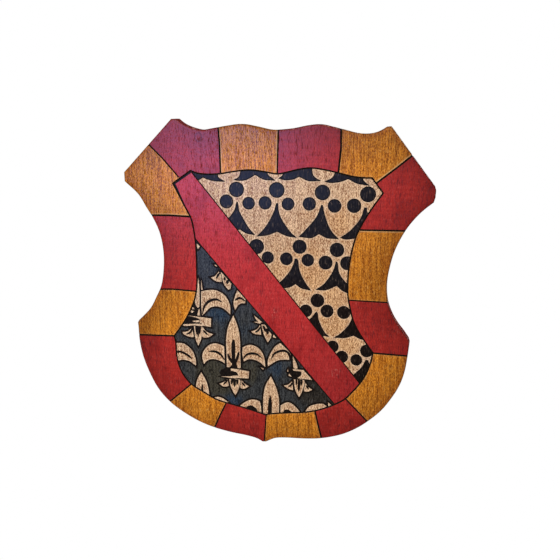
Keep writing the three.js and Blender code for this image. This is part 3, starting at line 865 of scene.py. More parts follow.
# %% Lay the paints over each other
PAINTS = [
    "gold_stain", "border_red", "bend_red", "bare_wood", "black_paint", "ink", "ground_paint",
    "edge_gold", "edge_red", "raw_oak",
]
GOLD, RED, BEND, BARE, BLACK, INK, GROUND, EDGE_GOLD, EDGE_RED, RAW = range(len(PAINTS))


def sector_of(points):
    """The border field of each point, counted clockwise from the left ear's upper one."""
    found = np.zeros(len(points), int)
    middle = np.zeros((1, 2))
    rays = [np.vstack([middle, line[::-1], line[:1] * 2]) for line in dividers]
    for i, ray in enumerate(rays):
        found[inside(points, np.vstack([ray, rays[(i + 1) % len(rays)][:0:-1]]))] = i
    return found


def side_of(points, line):
    """Positive to the left of a straight line, negative to its right."""
    (ax, az), (bx, bz) = line[0], line[-1]
    return (bx - ax) * (points[:, 1] - az) - (bz - az) * (points[:, 0] - ax)


def stroke(points, line, closed, width):
    """Which points a drawn line covers."""
    sides = [beside(line, half, closed) for half in (width / 2, -width / 2)]
    if closed:
        return inside(points, sides[0]) != inside(points, sides[1])
    return inside(points, np.vstack([sides[0], sides[1][::-1]]))


def paint_of(points):
    """The paint on top at each point of the face."""
    paint = np.where(sector_of(points) % 2 == 0, RED, GOLD)
    within = inside(points, inner_shield)
    upper = within & (side_of(points, bend_edges[0]) > 0)
    lower = within & (side_of(points, bend_edges[1]) < 0)
    paint[within] = BEND
    paint[upper] = BARE
    paint[lower] = GROUND
    for mark in ermine_marks:
        paint[upper & inside(points, mark)] = BLACK
    for mark in flower_rings + FLEUR_BLOTS:
        paint[lower & inside(points, mark)] = INK
    for mark in FLEUR_WOOD:
        paint[lower & inside(points, mark)] = BARE
    for mark in FLEUR_INK:
        paint[lower & inside(points, mark)] = INK
    paint[within & inside(points, BEND_END)] = INK
    for line, closed, width in drawn_lines:
        paint[stroke(points, line, closed, width)] = INK
    return paint


paint = paint_of(plan[triangles].mean(axis=1))
for i, name in enumerate(PAINTS):
    print(name, int((paint == i).sum()), "triangles")

# %% [markdown]
# ## Depths and slow changes of tone
#
# The lines are scored as shallow V grooves, and the sawn edge is rounded over by sanding, so
# each point of the plan gets a depth below the face. It also gets a few facts that the paints
# read later, such as its distance from the edge, soft patches where the wood is warmer, and
# where a painted blue sheen lies on the black. Kept on the mesh, such facts cost little and stay
# where they are put.

# %% Where the wood and the paints differ
# The back's edge is rounded less than the front's
BACK_ROUND = 1.05
# Distances are measured up to these: from the edge or a line, and inside a mark
REACH, BRIM_REACH = 60.0, 6.0


def rim_depth(away, radius):
    """How far a rounded edge has fallen away at a distance from the outline."""
    inward = np.clip(radius - away, 0, radius)
    return radius - np.sqrt(radius**2 - inward**2)


def patches(points, places):
    """Soft round patches, each (x, z, radius across, radius up, strength)."""
    total = np.zeros(len(points))
    for x, z, across, up, strength in places:
        r = np.hypot((points[:, 0] - x) / across, (points[:, 1] - z) / up)
        total += strength * np.exp(-(r**2))
    return total


PATCHES = {
    "honey": [(45, 25, 70, 50, 1.0), (105, -70, 50, 60, 1.0), (100, 110, 55, 30, 0.8)],
    "ashen": [(-130, -10, 40, 110, 1.0), (-60, 20, 50, 70, 0.6), (-80, -170, 60, 40, 0.4)],
    # Where a blue sheen is painted into the ermine's black, near the top
    "blued": [(-5, 152, 95, 34, 1.0), (-60, 110, 50, 40, 0.5)],
    "navy": [
        (-84, -46, 24, 16, 0.9), (-44, -70, 16, 16, 0.5), (-55, -188, 15, 13, 1.0),
        (10, -128, 16, 20, 0.7), (-92, 26, 12, 18, 0.4), (-136, -84, 14, 10, 0.5),
        (62, -140, 14, 9, 0.5),
    ],
    "olive": [(-96, -140, 26, 26, 1.0), (-30, -135, 20, 24, 0.7), (-82, -165, 30, 16, 0.8)],
    "soot": [(80, -160, 40, 40, 1.0), (-8, -190, 22, 16, 0.5)],
    "worn": [
        (5, -40, 5, 6, 1.0), (103, -126, 6, 7, 0.9), (-150, 245, 14, 5, 0.8), (202, -52, 10, 6, 0.7),
    ],
}
# How pale the strip is along some border lines, where the stain shrank back from the black
PALE_SIDES = {1: 0.6, 2: 0.7, 4: 0.9, 5: 0.8, 15: 0.7}
PALE_ELSEWHERE = 0.15
# How light each border field came out, clockwise from the left ear's upper one
FIELD_TONES = [
    0.93, 0.98, 0.96, 0.95, 0.97, 0.9, 0.92, 0.95, 0.97, 1.01, 1.1, 1.05, 1.01, 1.01, 1.25, 1.0,
]
# Patches where the border is made darker
BORDER_TONES = [(-214, -76, 24, 30, -0.28), (236, 150, 26, 52, -0.14), (-100, 235, 60, 30, -0.06)]
# The bend came out lighter in its upper half and ever darker below
BEND_TONES = [(-50, 60, 90, 90, 0.08), (120, -160, 90, 90, -0.32)]
# The black fades to a warmer one from this height down, over this many millimetres
FADE_FOOT, FADE_RUN = -120, 150
print("patches:", {name: len(places) for name, places in PATCHES.items()})

# %% Depths and facts for each point of the plan
rim = distance(plan, outline, True, REACH)
line_gap = np.full(len(plan), REACH)
pale = np.zeros(len(plan))
groove = np.zeros(len(plan))
for i, (line, closed, width) in enumerate(drawn_lines):
    gap = distance(plan, line, closed, REACH)
    groove = np.maximum(groove, LINE_DEPTH * np.clip(width - 2 * gap, 0, None))
    gap = gap - width / 2
    nearer = gap < line_gap
    pale[nearer] = PALE_SIDES.get(i - 1, PALE_ELSEWHERE)
    line_gap[nearer] = gap[nearer]
within = inside(plan, inner_shield)
border_tone = np.array(FIELD_TONES)[sector_of(plan)] * (1 + patches(plan, BORDER_TONES))
tone = np.where(within, 1 + patches(plan, BEND_TONES), border_tone)
brim = np.full(len(plan), BRIM_REACH)
for mark in ermine_marks + FLEUR_WOOD:
    brim = np.minimum(brim, distance(plan, mark, True, BRIM_REACH))
facts = {"rim": rim, "brim": brim, "tone": tone, "line": line_gap, "pale": pale}
facts["fade"] = np.clip((plan[:, 1] - FADE_FOOT) / FADE_RUN, 0, 1)
facts.update({name: patches(plan, places) for name, places in PATCHES.items()})
print("deepest point", round(float((groove + rim_depth(rim, ROUND)).max()), 2), "mm")

# %% [markdown]
# ## Five staves
#
# A joiner glues five boards edge to edge and only then saws and paints. So a stave is the plan
# between two joints, a plainer plan for its back, and walls between the two. It stays a closed
# solid, so that the bores for dowels and screws can be cut out of it. The walls along the
# sawn edge take a thin coat of the paint beside them, as a brush leaves it.

# %% Part the plan into staves, and plan their backs
BACK_GRID = 15.0


def edges_of(faces):
    """The edges that only one triangle has, in the direction that it runs through them."""
    all_edges = np.vstack([faces[:, [0, 1]], faces[:, [1, 2]], faces[:, [2, 0]]])
    _, first, count = np.unique(
        np.sort(all_edges, axis=1), axis=0, return_index=True, return_counts=True
    )
    return all_edges[first[count == 1]]


stave_of = np.searchsorted(JOINTS, plan[triangles].mean(axis=1)[:, 0])
fronts = [triangles[stave_of == i] for i in range(len(STAVES))]
paints = [paint[stave_of == i] for i in range(len(STAVES))]
borders = [edges_of(front) for front in fronts]

back_drawing = Drawing()
for border in borders:
    for a, b in border:
        back_drawing.add(plan[[a, b]])
for loop in rim_lines[1:3]:
    back_drawing.add(loop, closed=True)
back_drawing.scatter(BACK_GRID)
back_plan, back_triangles = back_drawing.triangulate()
back_stave = np.searchsorted(JOINTS, back_plan[back_triangles].mean(axis=1)[:, 0])
back_rim = distance(back_plan, outline, True, REACH)
print("triangles of the fronts:", [len(front) for front in fronts])

# %% Give the plans their depth
def behind(index):
    """The back plan's point right behind a point of the front plan."""
    gap = np.abs(back_plan - plan[index]).sum(axis=1)
    if gap.min() > 10 * CLOSE:
        raise ValueError(f"the back has no point behind {plan[index]}")
    return int(gap.argmin())


def in_metres(points, depth, face_y, sign):
    """Plan points as points of the frame, a depth in millimetres behind one face."""
    x, z = points.T * MM
    return np.column_stack([x, face_y + sign * depth * MM, MIDDLE_Z + z])


def joint_gap(points):
    """How far each point is from the nearest joint."""
    return np.abs(points[:, :1] - np.array([JOINTS])).min(axis=1)


front_points = in_metres(plan, groove + rim_depth(rim, ROUND), FRONT_Y, 1)
back_points = in_metres(back_plan, rim_depth(back_rim, BACK_ROUND), BACK_Y, -1)
all_points = np.vstack([front_points, back_points])
# The back has no facts of its own, but its distance from the face and from the glue lines
back_facts = {name: np.zeros(len(back_plan)) for name in facts}
back_facts["rim"] = np.full(len(back_plan), (FRONT_Y - BACK_Y) / MM)
facts["seam"] = np.full(len(plan), REACH)
back_facts["seam"] = joint_gap(back_plan)
print("facts at each point:", ", ".join(facts))

# %% Build the staves
# The paint of a wall is read this far inside the edge
JUST_INSIDE = 0.3


def new_mesh(name, points, faces, indices=None, materials=()):
    """A mesh with its faces' materials."""
    mesh = bpy.data.meshes.new(name)
    mesh.from_pydata([tuple(p) for p in points], [], [tuple(int(i) for i in f) for f in faces])
    for material in materials:
        mesh.materials.append(material)
    if indices is not None:
        mesh.polygons.foreach_set("material_index", np.array(indices, np.int32))
    mesh.polygons.foreach_set("use_smooth", np.ones(len(mesh.polygons), bool))
    return mesh


def new_object(name, mesh):
    """An object in the scene."""
    made = bpy.data.objects.new(name, mesh)
    bpy.context.scene.collection.objects.link(made)
    return made


def stave_mesh(i):
    """One stave: its front, back and walls."""
    joined_back = back_triangles[back_stave == i][:, ::-1] + len(plan)
    a, b = borders[i].T
    far = {k: behind(k) + len(plan) for k in np.unique(borders[i])}
    walls = [[q, p, far[p], far[q]] for p, q in borders[i]]
    edge_middle = (plan[a] + plan[b]) / 2
    along = plan[b] - plan[a]
    inward = np.column_stack([-along[:, 1], along[:, 0]]) / np.linalg.norm(along, axis=1)[:, None]
    beside_it = paint_of(edge_middle + inward * JUST_INSIDE)
    wall_paint = np.select(
        [joint_gap(edge_middle) < CLOSE, beside_it == GOLD, beside_it == RED],
        [RAW, EDGE_GOLD, EDGE_RED],
        beside_it,
    )
    faces = [*fronts[i], *joined_back, *walls]
    indices = np.concatenate([paints[i], np.full(len(joined_back), RAW), wall_paint])
    used = np.unique(np.concatenate([np.ravel(f) for f in faces]))
    short = dict(zip(used, range(len(used))))
    faces = [[short[k] for k in f] for f in faces]
    mesh = new_mesh(f"board_{i + 1}", all_points[used], faces, indices)
    for name, values in facts.items():
        both = np.concatenate([values, back_facts[name]])[used]
        layer = mesh.attributes.new(name, "FLOAT", "POINT")
        layer.data.foreach_set("value", both.astype(np.float32))
    return mesh


def is_closed(mesh):
    """Whether every edge has exactly two faces."""
    shell = bmesh.new()
    shell.from_mesh(mesh)
    closed = all(e.is_manifold for e in shell.edges)
    shell.free()
    return closed


stave_meshes = [stave_mesh(i) for i in range(len(STAVES))]
print("faces:", [len(mesh.polygons) for mesh in stave_meshes])
print("closed:", [is_closed(mesh) for mesh in stave_meshes])

# %% [markdown]
# ## Arithmetic on shader sockets
#
# A paint is a recipe: this much pore, a little brush mark, darker towards the edge. Written as
# arithmetic it reads like the recipe. So one small class wraps a node's output and gives it
# plus, minus and times, and another class adds any node by its type.

# %% Colours and arithmetic
def srgb(red, green, blue):
    """A colour as it shows on a screen, 0 to 255, turned into the light that a shader wants."""
    shares = [v / 255 for v in (red, green, blue)]
    light = [v / 12.92 if v <= 0.04045 else ((v + 0.055) / 1.055) ** 2.4 for v in shares]
    return (*light, 1.0)


class Signal:
    """The output of a node, with arithmetic."""

    def __init__(self, recipe, out):
        self.recipe, self.out = recipe, out

    def __add__(self, other):
        return self.recipe.math("ADD", self, other)

    def __sub__(self, other):
        return self.recipe.math("SUBTRACT", self, other)

    def __rsub__(self, other):
        return self.recipe.math("SUBTRACT", other, self)

    def __mul__(self, other):
        return self.recipe.math("MULTIPLY", self, other)

    __radd__ = __add__
    __rmul__ = __mul__


print("mid grey on a screen is", round(srgb(128, 128, 128)[0], 3), "in the shader")

# %% Any node by its type
class Nodes:
    """The node tree of one material, or of the world."""

    def __init__(self, owner):
        owner.use_nodes = True
        self.tree = owner.node_tree
        self.tree.nodes.clear()

    def add(self, kind, settings=None, sockets=None, out=None):
        """Any node: its settings first, then its sockets' values or links, and what comes out."""
        node = self.tree.nodes.new("ShaderNode" + kind)
        for key, value in (settings or {}).items():
            setattr(node, key, value)
        for key, value in (sockets or {}).items():
            socket = next(s for s in node.inputs if s.enabled and key in (s.identifier, s.name))
            if isinstance(value, Signal):
                self.tree.links.new(value.out, socket)
            else:
                socket.default_value = value
        outs = {s.name: Signal(self, s) for s in node.outputs if s.enabled}
        if isinstance(out, tuple):
            return [outs[name] for name in out]
        return outs[out] if out else next(iter(outs.values()), None)

    def math(self, operation, *values):
        """Arithmetic on one, two or three values."""
        sockets = dict(zip(("Value", "Value_001", "Value_002"), values))
        return self.add("Math", {"operation": operation}, sockets)


trial = bpy.data.materials.new("trial")
cloud = Nodes(trial).add("TexNoise", None, {"Scale": 5.0}, "Fac")
print("noise is a node's", cloud.out.name, "and 1 - noise is a node's", (1 - cloud).out.name)
bpy.data.materials.remove(trial)

# %% The nodes that a finish is mixed from
class Recipe(Nodes):
    """The nodes of one paint, wood, metal or cloth, with its place in millimetres."""

    def __init__(self, name):
        self.material = bpy.data.materials.new(name)
        super().__init__(self.material)
        self.place = self.add("TexCoord", out="Object")
        parts = self.add("SeparateXYZ", None, {"Vector": self.place}, ("X", "Y", "Z"))
        self.x, self.y, self.z = (part * (1 / MM) for part in parts)

    def step(self, value, low, high):
        """0 below low, 1 above high and smooth between. Low may be the larger one."""
        return self.add(
            "MapRange",
            {"interpolation_type": "SMOOTHSTEP"},
            {"Value": value, "From Min": low, "From Max": high},
            "Result",
        )

    def fact(self, name):
        """A number that the mesh carries at each point."""
        return self.add("Attribute", {"attribute_name": name}, out="Fac")

    def vector(self, x, y, z=0.0):
        """A place made of three values."""
        return self.add("CombineXYZ", None, {"X": x, "Y": y, "Z": z})

    def noise(self, where, scale=1.0, detail=2.0, rough=0.5):
        """Soft noise about a half, mostly between 0.3 and 0.7."""
        sockets = {"Vector": where, "Scale": scale, "Detail": detail, "Roughness": rough}
        return self.add("TexNoise", None, sockets, "Fac")

    def blend(self, share, a, b, kind="MIX"):
        """Colour a where share is 0 and colour b where it is 1."""
        return self.add(
            "Mix",
            {"data_type": "RGBA", "blend_type": kind, "clamp_factor": True},
            {"Factor_Float": share, "A_Color": a, "B_Color": b},
            "Result",
        )

    def scaled(self, colour, factor):
        """A colour made lighter or darker by a factor."""
        if not isinstance(colour, Signal):
            colour = colour[:3]
        return self.add(
            "VectorMath", {"operation": "SCALE"}, {"Vector": colour, "Scale": factor}, "Vector"
        )

    def finish(self, colour, roughness, height=None, deep=0.1, gloss=0.5, metallic=0.0, cloth=None):
        """The surface: colour, roughness, and a height whose full swing is deep millimetres."""
        sockets = {"Base Color": colour, "Roughness": roughness, "Metallic": metallic}
        sockets["Specular IOR Level"] = gloss
        sockets.update(cloth or {})
        if height is not None:
            bump = {"Height": height, "Distance": deep * MM, "Strength": 1.0}
            sockets["Normal"] = self.add("Bump", None, bump, "Normal")
        surface = self.add("BsdfPrincipled", None, sockets, "BSDF")
        self.add("OutputMaterial", None, {"Surface": surface})
        return self.material


def nodes_in(*materials):
    """How many nodes each material has."""
    return [len(material.node_tree.nodes) for material in materials]


print("a recipe offers:", ", ".join(name for name in vars(Recipe) if not name.startswith("_")))

# %% [markdown]
# ## Oak
#
# Oak shows fine dark pores: short dashes half a millimetre wide and up to 15 mm long, crowded
# in the bands of each year's growth. On this board they lean a little, top to the left. Every
# finish below starts from the same pores and bands, because stain sinks into them, while paint
# nearly hides them.

# %% The grain that all the wood shares
GRAIN_LEAN = math.radians(2.4)


class Grain:
    """Oak's pores, streaks and blotches: u across the grain and v along it in millimetres.

    The factors on u and v say how fine a pattern is each way. Noise is stretched along v.
    """

    def __init__(self, recipe, u, v, w=0.0):
        # The grain wanders by up to a finger's width over the board's height
        wander = recipe.noise(recipe.vector(u * 0.006, v * 0.004, w), 1.0, 2.0) - 0.5
        u = u + wander * 26
        # The bands of each year's growth, where the pores crowd
        self.bands = recipe.noise(recipe.vector(u * 0.13, v * 0.004, w), 1.0, 3.0, 0.6)
        crowd = recipe.step(self.bands, 0.38, 0.66)
        # Light and dark streaks under 2 mm apart, and shorter marks between them
        streak = recipe.noise(recipe.vector(u * 0.55, v * 0.02, w), 1.0, 3.0, 0.65)
        self.streak = recipe.step(streak, 0.38, 0.62)
        dash = recipe.noise(recipe.vector(u * 0.85, v * 0.1, w), 1.0, 3.0, 0.6)
        self.pores = recipe.step(dash + crowd * 0.06, 0.56, 0.67)
        speck = recipe.noise(recipe.vector(u * 1.1, v * 0.32, w + 4.0), 1.0, 2.0, 0.7)
        self.speck = recipe.step(speck, 0.4, 0.6)
        # Pores too fine to show from a distance
        fine = recipe.noise(recipe.vector(u * 3.0, v * 0.14, w + 2.0), 1.0, 2.0, 0.6)
        self.fine = recipe.step(fine + crowd * 0.05, 0.54, 0.64)
        # Pale flakes, where a ray of the wood comes to the surface
        flake = recipe.noise(recipe.vector(u * 0.6, v * 0.12, w + 9.0), 1.0, 3.0, 0.6)
        self.flakes = recipe.step(flake, 0.59, 0.67)
        self.blotch = recipe.noise(recipe.vector(u * 0.035, v * 0.02, w), 1.0, 3.0)


def board_grain(recipe):
    """The grain of the staves, which runs up the board and leans."""
    c, s = math.cos(GRAIN_LEAN), math.sin(GRAIN_LEAN)
    return Grain(recipe, recipe.x * c + recipe.z * s, recipe.z * c - recipe.x * s, recipe.y * 0.03)


print("the grain leans", round(math.tan(GRAIN_LEAN) * 2 * HALF_BLANK, 1), "mm over the height")

# %% [markdown]
# ## Wear
#
# Hands take a wall shield by its rim, so the stain is darker and browner there, and the very
# edge is rubbed. The top collects knocks. The varnish is thin and broken over the pores. These
# hold for both border colours, so they are written once and called by each paint.

# %% Handling, knocks and varnish
BOARD_TOP = MIDDLE_Z / MM + HALF_BLANK
# Up the board, knocks on the edge grow more frequent from the first height towards the second
KNOCKS_START, KNOCKS_FULL = BOARD_TOP - 45.0, BOARD_TOP + 15.0


def edge_wear(r, grain, colour, dark, pale):
    """Darker and browner towards the outline, and rubbed pale in spots on the edge."""
    handled = r.step(r.fact("rim") + (grain.blotch - 0.5) * 50, 62.0, 0.0)
    colour = r.scaled(colour, 1.12 - handled * 0.38)
    near = r.step(r.fact("rim") + (grain.blotch - 0.5) * 10, 14.0, 2.0)
    colour = r.blend(near * 0.5, colour, srgb(232, 206, 188), "MULTIPLY")
    edge = r.step(r.fact("rim"), 2.2, 0.5)
    colour = r.blend(edge * 0.6, colour, r.scaled(dark, 0.5))
    top = r.step(r.z, KNOCKS_START, KNOCKS_FULL)
    worn = r.step(r.noise(r.place, 160.0, 3.0, 0.65) + top * 0.06, 0.6, 0.68) * edge
    return r.blend(worn * 0.75, colour, pale)


def varnish(grain, least=0.2, in_pores=0.35):
    """Roughness of the thin varnish, which is broken over the pores."""
    return grain.pores * in_pores + least


# How strongly the varnish mirrors, by what is under it: wood, red, the filled black, and the
# darker paints. All are low, because the varnish is thin and dry.
WOOD_GLOSS, RED_GLOSS, BLACK_GLOSS, DARK_GLOSS = 0.045, 0.055, 0.024, 0.025
print("the board's top is at", round(BOARD_TOP, 1), "mm, knocks start at", round(KNOCKS_START, 1))

# %% [markdown]
# ## Gold stain
#
# The gold fields aren't gilt: the grain shows through them. They are a golden-brown stain,
# which sinks deep into pores and streaks and stays light between them. So two browns are mixed
# by the grain, darker patches are laid over, and beside some lines a pale strip is left where
# the stain drew back from the black.

# %% Mix the gold stain
finishes = {}


def gold_stain():
    """A thin golden-brown stain, darkest in the pores."""
    r = Recipe("gold_stain")
    grain = board_grain(r)
    share = grain.streak * 0.42 + grain.speck * 0.58
    colour = r.blend(share, srgb(115, 49, 1), srgb(240, 155, 48))
    dark_patch = r.step(grain.blotch, 0.52, 0.72)
    colour = r.blend(dark_patch * 0.35, colour, srgb(150, 76, 14))
    colour = r.blend(grain.fine * 0.3, colour, srgb(96, 44, 6))
    colour = r.blend(grain.pores * 0.6, colour, srgb(84, 36, 2))
    colour = r.blend(grain.flakes * 0.4, colour, srgb(244, 184, 96))
    strip = r.step(r.fact("line"), 2.4, 0.4) * r.fact("pale")
    colour = r.blend(strip * 0.8, colour, srgb(216, 172, 118))
    colour = edge_wear(r, grain, colour, srgb(116, 58, 14), srgb(206, 150, 92))
    colour = r.scaled(colour, r.fact("tone"))
    height = grain.streak * 0.5 - grain.pores
    return r.finish(colour, varnish(grain, 0.2, 0.55), height, 0.04, WOOD_GLOSS)


finishes[GOLD] = gold_stain()
print("gold stain:", nodes_in(finishes[GOLD]), "nodes")

# %% [markdown]
# ## Red paint
#
# The red of the border and of the bend is a wash, brushed on thinly across the grain, so that
# brush marks run one way and pores the other. A knot shows through it at the upper left. One
# recipe makes both reds, as a painter thins one pot for the border and one for the bend.

# %% Mix the two reds
# The knot's middle, x and z in millimetres, its size, and how wide its dark ring is
KNOT_X, KNOT_Z = -123.0, MIDDLE_Z / MM + 222.0
KNOT_SIZE, KNOT_RING = 4.2, 1.6


def red_paint(name, thin, full, dark):
    """A wash of red with the pores as faint dark lines."""
    r = Recipe(name)
    grain = board_grain(r)
    sweep = r.noise(r.vector(r.x * 0.02 + r.noise(r.place, 9.0) * 1.6, r.z * 0.3), 1.0, 3.0, 0.6)
    share = r.step(sweep, 0.3, 0.75) * 0.3 + grain.streak * 0.25 + grain.speck * 0.5
    colour = r.blend(share, full, thin)
    colour = r.blend(r.step(grain.blotch, 0.48, 0.7) * 0.45, colour, dark)
    colour = r.blend(grain.fine * 0.25, colour, dark)
    colour = r.blend(grain.pores * 0.65, colour, r.scaled(dark, 0.45))
    colour = r.blend(grain.flakes * 0.06, colour, srgb(236, 160, 150))
    chips = r.step(r.noise(r.vector(r.x * 0.35, r.z * 0.16), 1.0, 4.0, 0.7), 0.52, 0.66)
    colour = r.blend(chips * r.fact("worn") * 0.7, colour, srgb(222, 150, 138))
    across, up = r.x - KNOT_X, r.z - KNOT_Z
    away = r.math("SQRT", across * across + up * up * 0.6) + (grain.blotch - 0.5) * 8
    ring = r.math("ABSOLUTE", away - KNOT_SIZE)
    knot = r.step(ring, KNOT_RING, 0.4) * (grain.speck * 0.5 + 0.5)
    colour = r.blend(knot * 0.6, colour, r.scaled(dark, 0.6))
    colour = edge_wear(r, grain, colour, r.scaled(dark, 0.7), srgb(196, 136, 116))
    colour = r.scaled(colour, r.fact("tone"))
    height = sweep * 0.3 + grain.speck * 0.3 - grain.pores * 0.7
    roughness = varnish(grain, 0.18, 0.25) + sweep * 0.08
    return r.finish(colour, roughness, height, 0.03, RED_GLOSS)


finishes[RED] = red_paint(
    "border_red", thin=srgb(182, 50, 42), full=srgb(134, 28, 23), dark=srgb(106, 20, 16)
)
finishes[BEND] = red_paint(
    "bend_red", thin=srgb(188, 54, 53), full=srgb(148, 28, 27), dark=srgb(119, 19, 17)
)
print("reds:", nodes_in(finishes[RED], finishes[BEND]), "nodes")

# %% [markdown]
# ## Bare wood
#
# The white of the arms is no paint at all: it is the oak itself under varnish. So its colour is
# all grain. It is warmer in some patches and greyer in others, and a little smudged, since a
# brush full of black was never far away.

# %% Varnish the bare oak
def bare_wood():
    """Oak left pale under the varnish, as the white of the arms."""
    r = Recipe("bare_wood")
    grain = board_grain(r)
    share = r.step(grain.streak * 0.3 + grain.speck * 0.7, 0.0, 1.0)
    colour = r.blend(share, srgb(122, 71, 36), srgb(244, 208, 168))
    colour = r.blend(grain.fine * 0.3, colour, srgb(124, 76, 42))
    colour = r.blend(grain.pores * 0.5, colour, srgb(104, 58, 30))
    colour = r.blend(grain.flakes * 0.4, colour, srgb(240, 212, 180))
    honey = r.step(r.fact("honey") + (grain.blotch - 0.5) * 1.5, 0.1, 1.0)
    warm = r.blend(share, srgb(130, 74, 28), srgb(236, 180, 116))
    colour = r.blend(honey * 0.5, colour, warm)
    ashen = r.blend(share, srgb(124, 88, 66), srgb(240, 214, 188))
    colour = r.blend(r.fact("ashen") * 0.5, colour, ashen)
    colour = r.blend(r.step(r.fact("brim"), 2.6, 0.4) * 0.25, colour, srgb(238, 214, 188))
    smudge = r.step(r.noise(r.place, 60.0, 4.0, 0.65), 0.56, 0.7)
    colour = r.blend(smudge * 0.1, colour, srgb(120, 84, 58))
    height = grain.streak * 0.4 - grain.pores
    return r.finish(colour, varnish(grain, 0.22), height, 0.04, WOOD_GLOSS)


finishes[BARE] = bare_wood()
print("bare wood:", nodes_in(finishes[BARE]), "nodes")

# %% [markdown]
# ## The dark paints
#
# Three darks lie on the board. The drawn lines are a full brush of brown-black. The ermine
# marks were outlined with it too and then filled in, thinner and with more shine, and near the
# top a blue sheen is painted into their colour. The ground of the flowers is black wiped over
# blue along the grain, so that both show. They differ by a few shades only, but one flat black
# for all three would look printed.

# %% Mix the filling black and the ink
def black_paint():
    """Black filled in between outlines, thin enough that some wood shows in specks."""
    r = Recipe("black_paint")
    grain = board_grain(r)
    marks = r.noise(r.vector(r.x * 0.5, r.z * 0.12), 1.0, 3.0, 0.6)
    upper = r.blend(r.step(marks, 0.4, 0.75), srgb(16, 13, 14), srgb(38, 34, 34))
    lower = r.blend(r.step(marks, 0.4, 0.75), srgb(15, 9, 6), srgb(33, 24, 18))
    colour = r.blend(r.step(r.fact("fade"), 1.0, 0.75), upper, lower)
    # A painted blue sheen over the black near the top, a reflection put into the colour
    blued = r.blend(marks, srgb(26, 32, 45), srgb(56, 64, 84))
    colour = r.blend(r.fact("blued") * 0.4, colour, blued)
    colour = r.blend(grain.flakes * 0.5, colour, srgb(104, 88, 76))
    outlined = r.step(r.fact("brim"), 1.9, 0.9)
    colour = r.blend(outlined * 0.85, colour, srgb(10, 7, 5))
    roughness = outlined * 0.3 + marks * 0.15 + 0.2
    return r.finish(colour, roughness, marks + grain.streak * 0.5, 0.03, BLACK_GLOSS)


def ink():
    """The drawn and brushed lines: a full load of brown-black that covers the wood."""
    r = Recipe("ink")
    grain = board_grain(r)
    marks = r.noise(r.vector(r.x * 0.4, r.z * 0.3), 1.0, 3.0, 0.6)
    colour = r.blend(r.step(marks, 0.35, 0.75), srgb(12, 8, 5), srgb(32, 24, 17))
    colour = r.blend(grain.flakes * 0.25, colour, srgb(84, 62, 46))
    return r.finish(colour, 0.25 + marks * 0.15, marks, 0.03, DARK_GLOSS)


finishes[BLACK] = black_paint()
finishes[INK] = ink()
print("black and ink:", nodes_in(finishes[BLACK], finishes[INK]), "nodes")

# %% Mix the ground of the flowers
# The wiped ground as a whole is this much darker than its colours were mixed
GROUND_SHADE = 0.72


def ground_paint():
    """Black over blue, wiped along the grain so that both show."""
    r = Recipe("ground_paint")
    grain = board_grain(r)
    wiped = r.noise(r.vector(r.x * 0.11, r.z * 0.02), 1.0, 4.0, 0.6)
    cloud = (wiped - 0.5) * 1.2
    share = grain.streak * 0.35 + grain.speck * 0.65
    colour = r.blend(share, srgb(22, 24, 26), srgb(84, 85, 86))
    faded = r.blend(share, srgb(30, 35, 46), srgb(88, 93, 104))
    colour = r.blend(r.step(r.fact("fade") + cloud * 0.6, 0.2, 1.0), colour, faded)
    olive = r.blend(share, srgb(26, 23, 16), srgb(92, 87, 74))
    colour = r.blend(r.step(r.fact("olive") + cloud, 0.1, 0.7), colour, olive)
    navy = r.blend(share, srgb(14, 26, 44), srgb(68, 86, 106))
    colour = r.blend(r.step(r.fact("navy") + cloud, 0.1, 0.9), colour, navy)
    soot = r.blend(share, srgb(16, 13, 10), srgb(68, 62, 55))
    colour = r.blend(r.step(r.fact("soot") + cloud, 0.2, 0.8), colour, soot)
    colour = r.scaled(colour, GROUND_SHADE)
    colour = r.blend(grain.pores * 0.8, colour, srgb(12, 11, 12))
    colour = r.blend(grain.flakes * 0.3, colour, srgb(112, 112, 112))
    height = wiped + grain.streak * 0.5
    return r.finish(colour, 0.22 + wiped * 0.1, height, 0.03, DARK_GLOSS)


finishes[GROUND] = ground_paint()
print("ground:", nodes_in(finishes[GROUND]), "nodes")

# %% [markdown]
# ## The sawn edge
#
# The border's colours run on round the edge, but thinner: a saw leaves marks across it, the
# brush skips over them, and every knock since has bared some wood. The edge is dry and matt.
# A lamp that only grazes it would show any gloss as a bright rim.

# %% Mix the two edge paints
EDGE_GLOSS = 0.008


def edge_paint(name, full, thin, knocked):
    """The edge of one field, in its paint but thinner, over saw marks, and knocked since."""
    r = Recipe(name)
    saw = r.noise(r.vector(r.x * 0.8, r.z * 0.8, r.y * 0.04), 1.0, 3.0, 0.6)
    brush = r.noise(r.vector(r.x * 0.05, r.z * 0.05, r.y * 1.1), 1.0, 4.0, 0.65)
    colour = r.blend(r.step(brush * 0.6 + saw * 0.4, 0.38, 0.62), full, thin)
    knocks = r.step(r.noise(r.place, 130.0, 4.0, 0.6), 0.62, 0.7)
    colour = r.blend(knocks * 0.7, colour, knocked)
    return r.finish(colour, 0.8 + saw * 0.15, saw + brush * 0.4, 0.15, EDGE_GLOSS)


finishes[EDGE_GOLD] = edge_paint(
    "edge_gold", full=srgb(126, 74, 28), thin=srgb(190, 128, 62), knocked=srgb(214, 172, 118)
)
finishes[EDGE_RED] = edge_paint(
    "edge_red", full=srgb(88, 20, 17), thin=srgb(142, 40, 33), knocked=srgb(200, 138, 108)
)
print("edges:", nodes_in(finishes[EDGE_GOLD], finishes[EDGE_RED]), "nodes")

# %% [markdown]
# ## Raw oak
#
# Nobody finishes a shield's back. The planed oak has gone grey-brown, with dust in its pores.
# No two of the five boards have quite the same tone, a thin dark glue line shows between them,
# and the plane has left shallow ripples. The battens are the same oak, lying across and paler.

# %% Age the raw oak
# Staves to a millimetre across the board. Their count starts at the middle stave's left side,
# half a stave from where x does.
STAVES_PER_MM = 0.01
DULL_GLOSS = 0.3


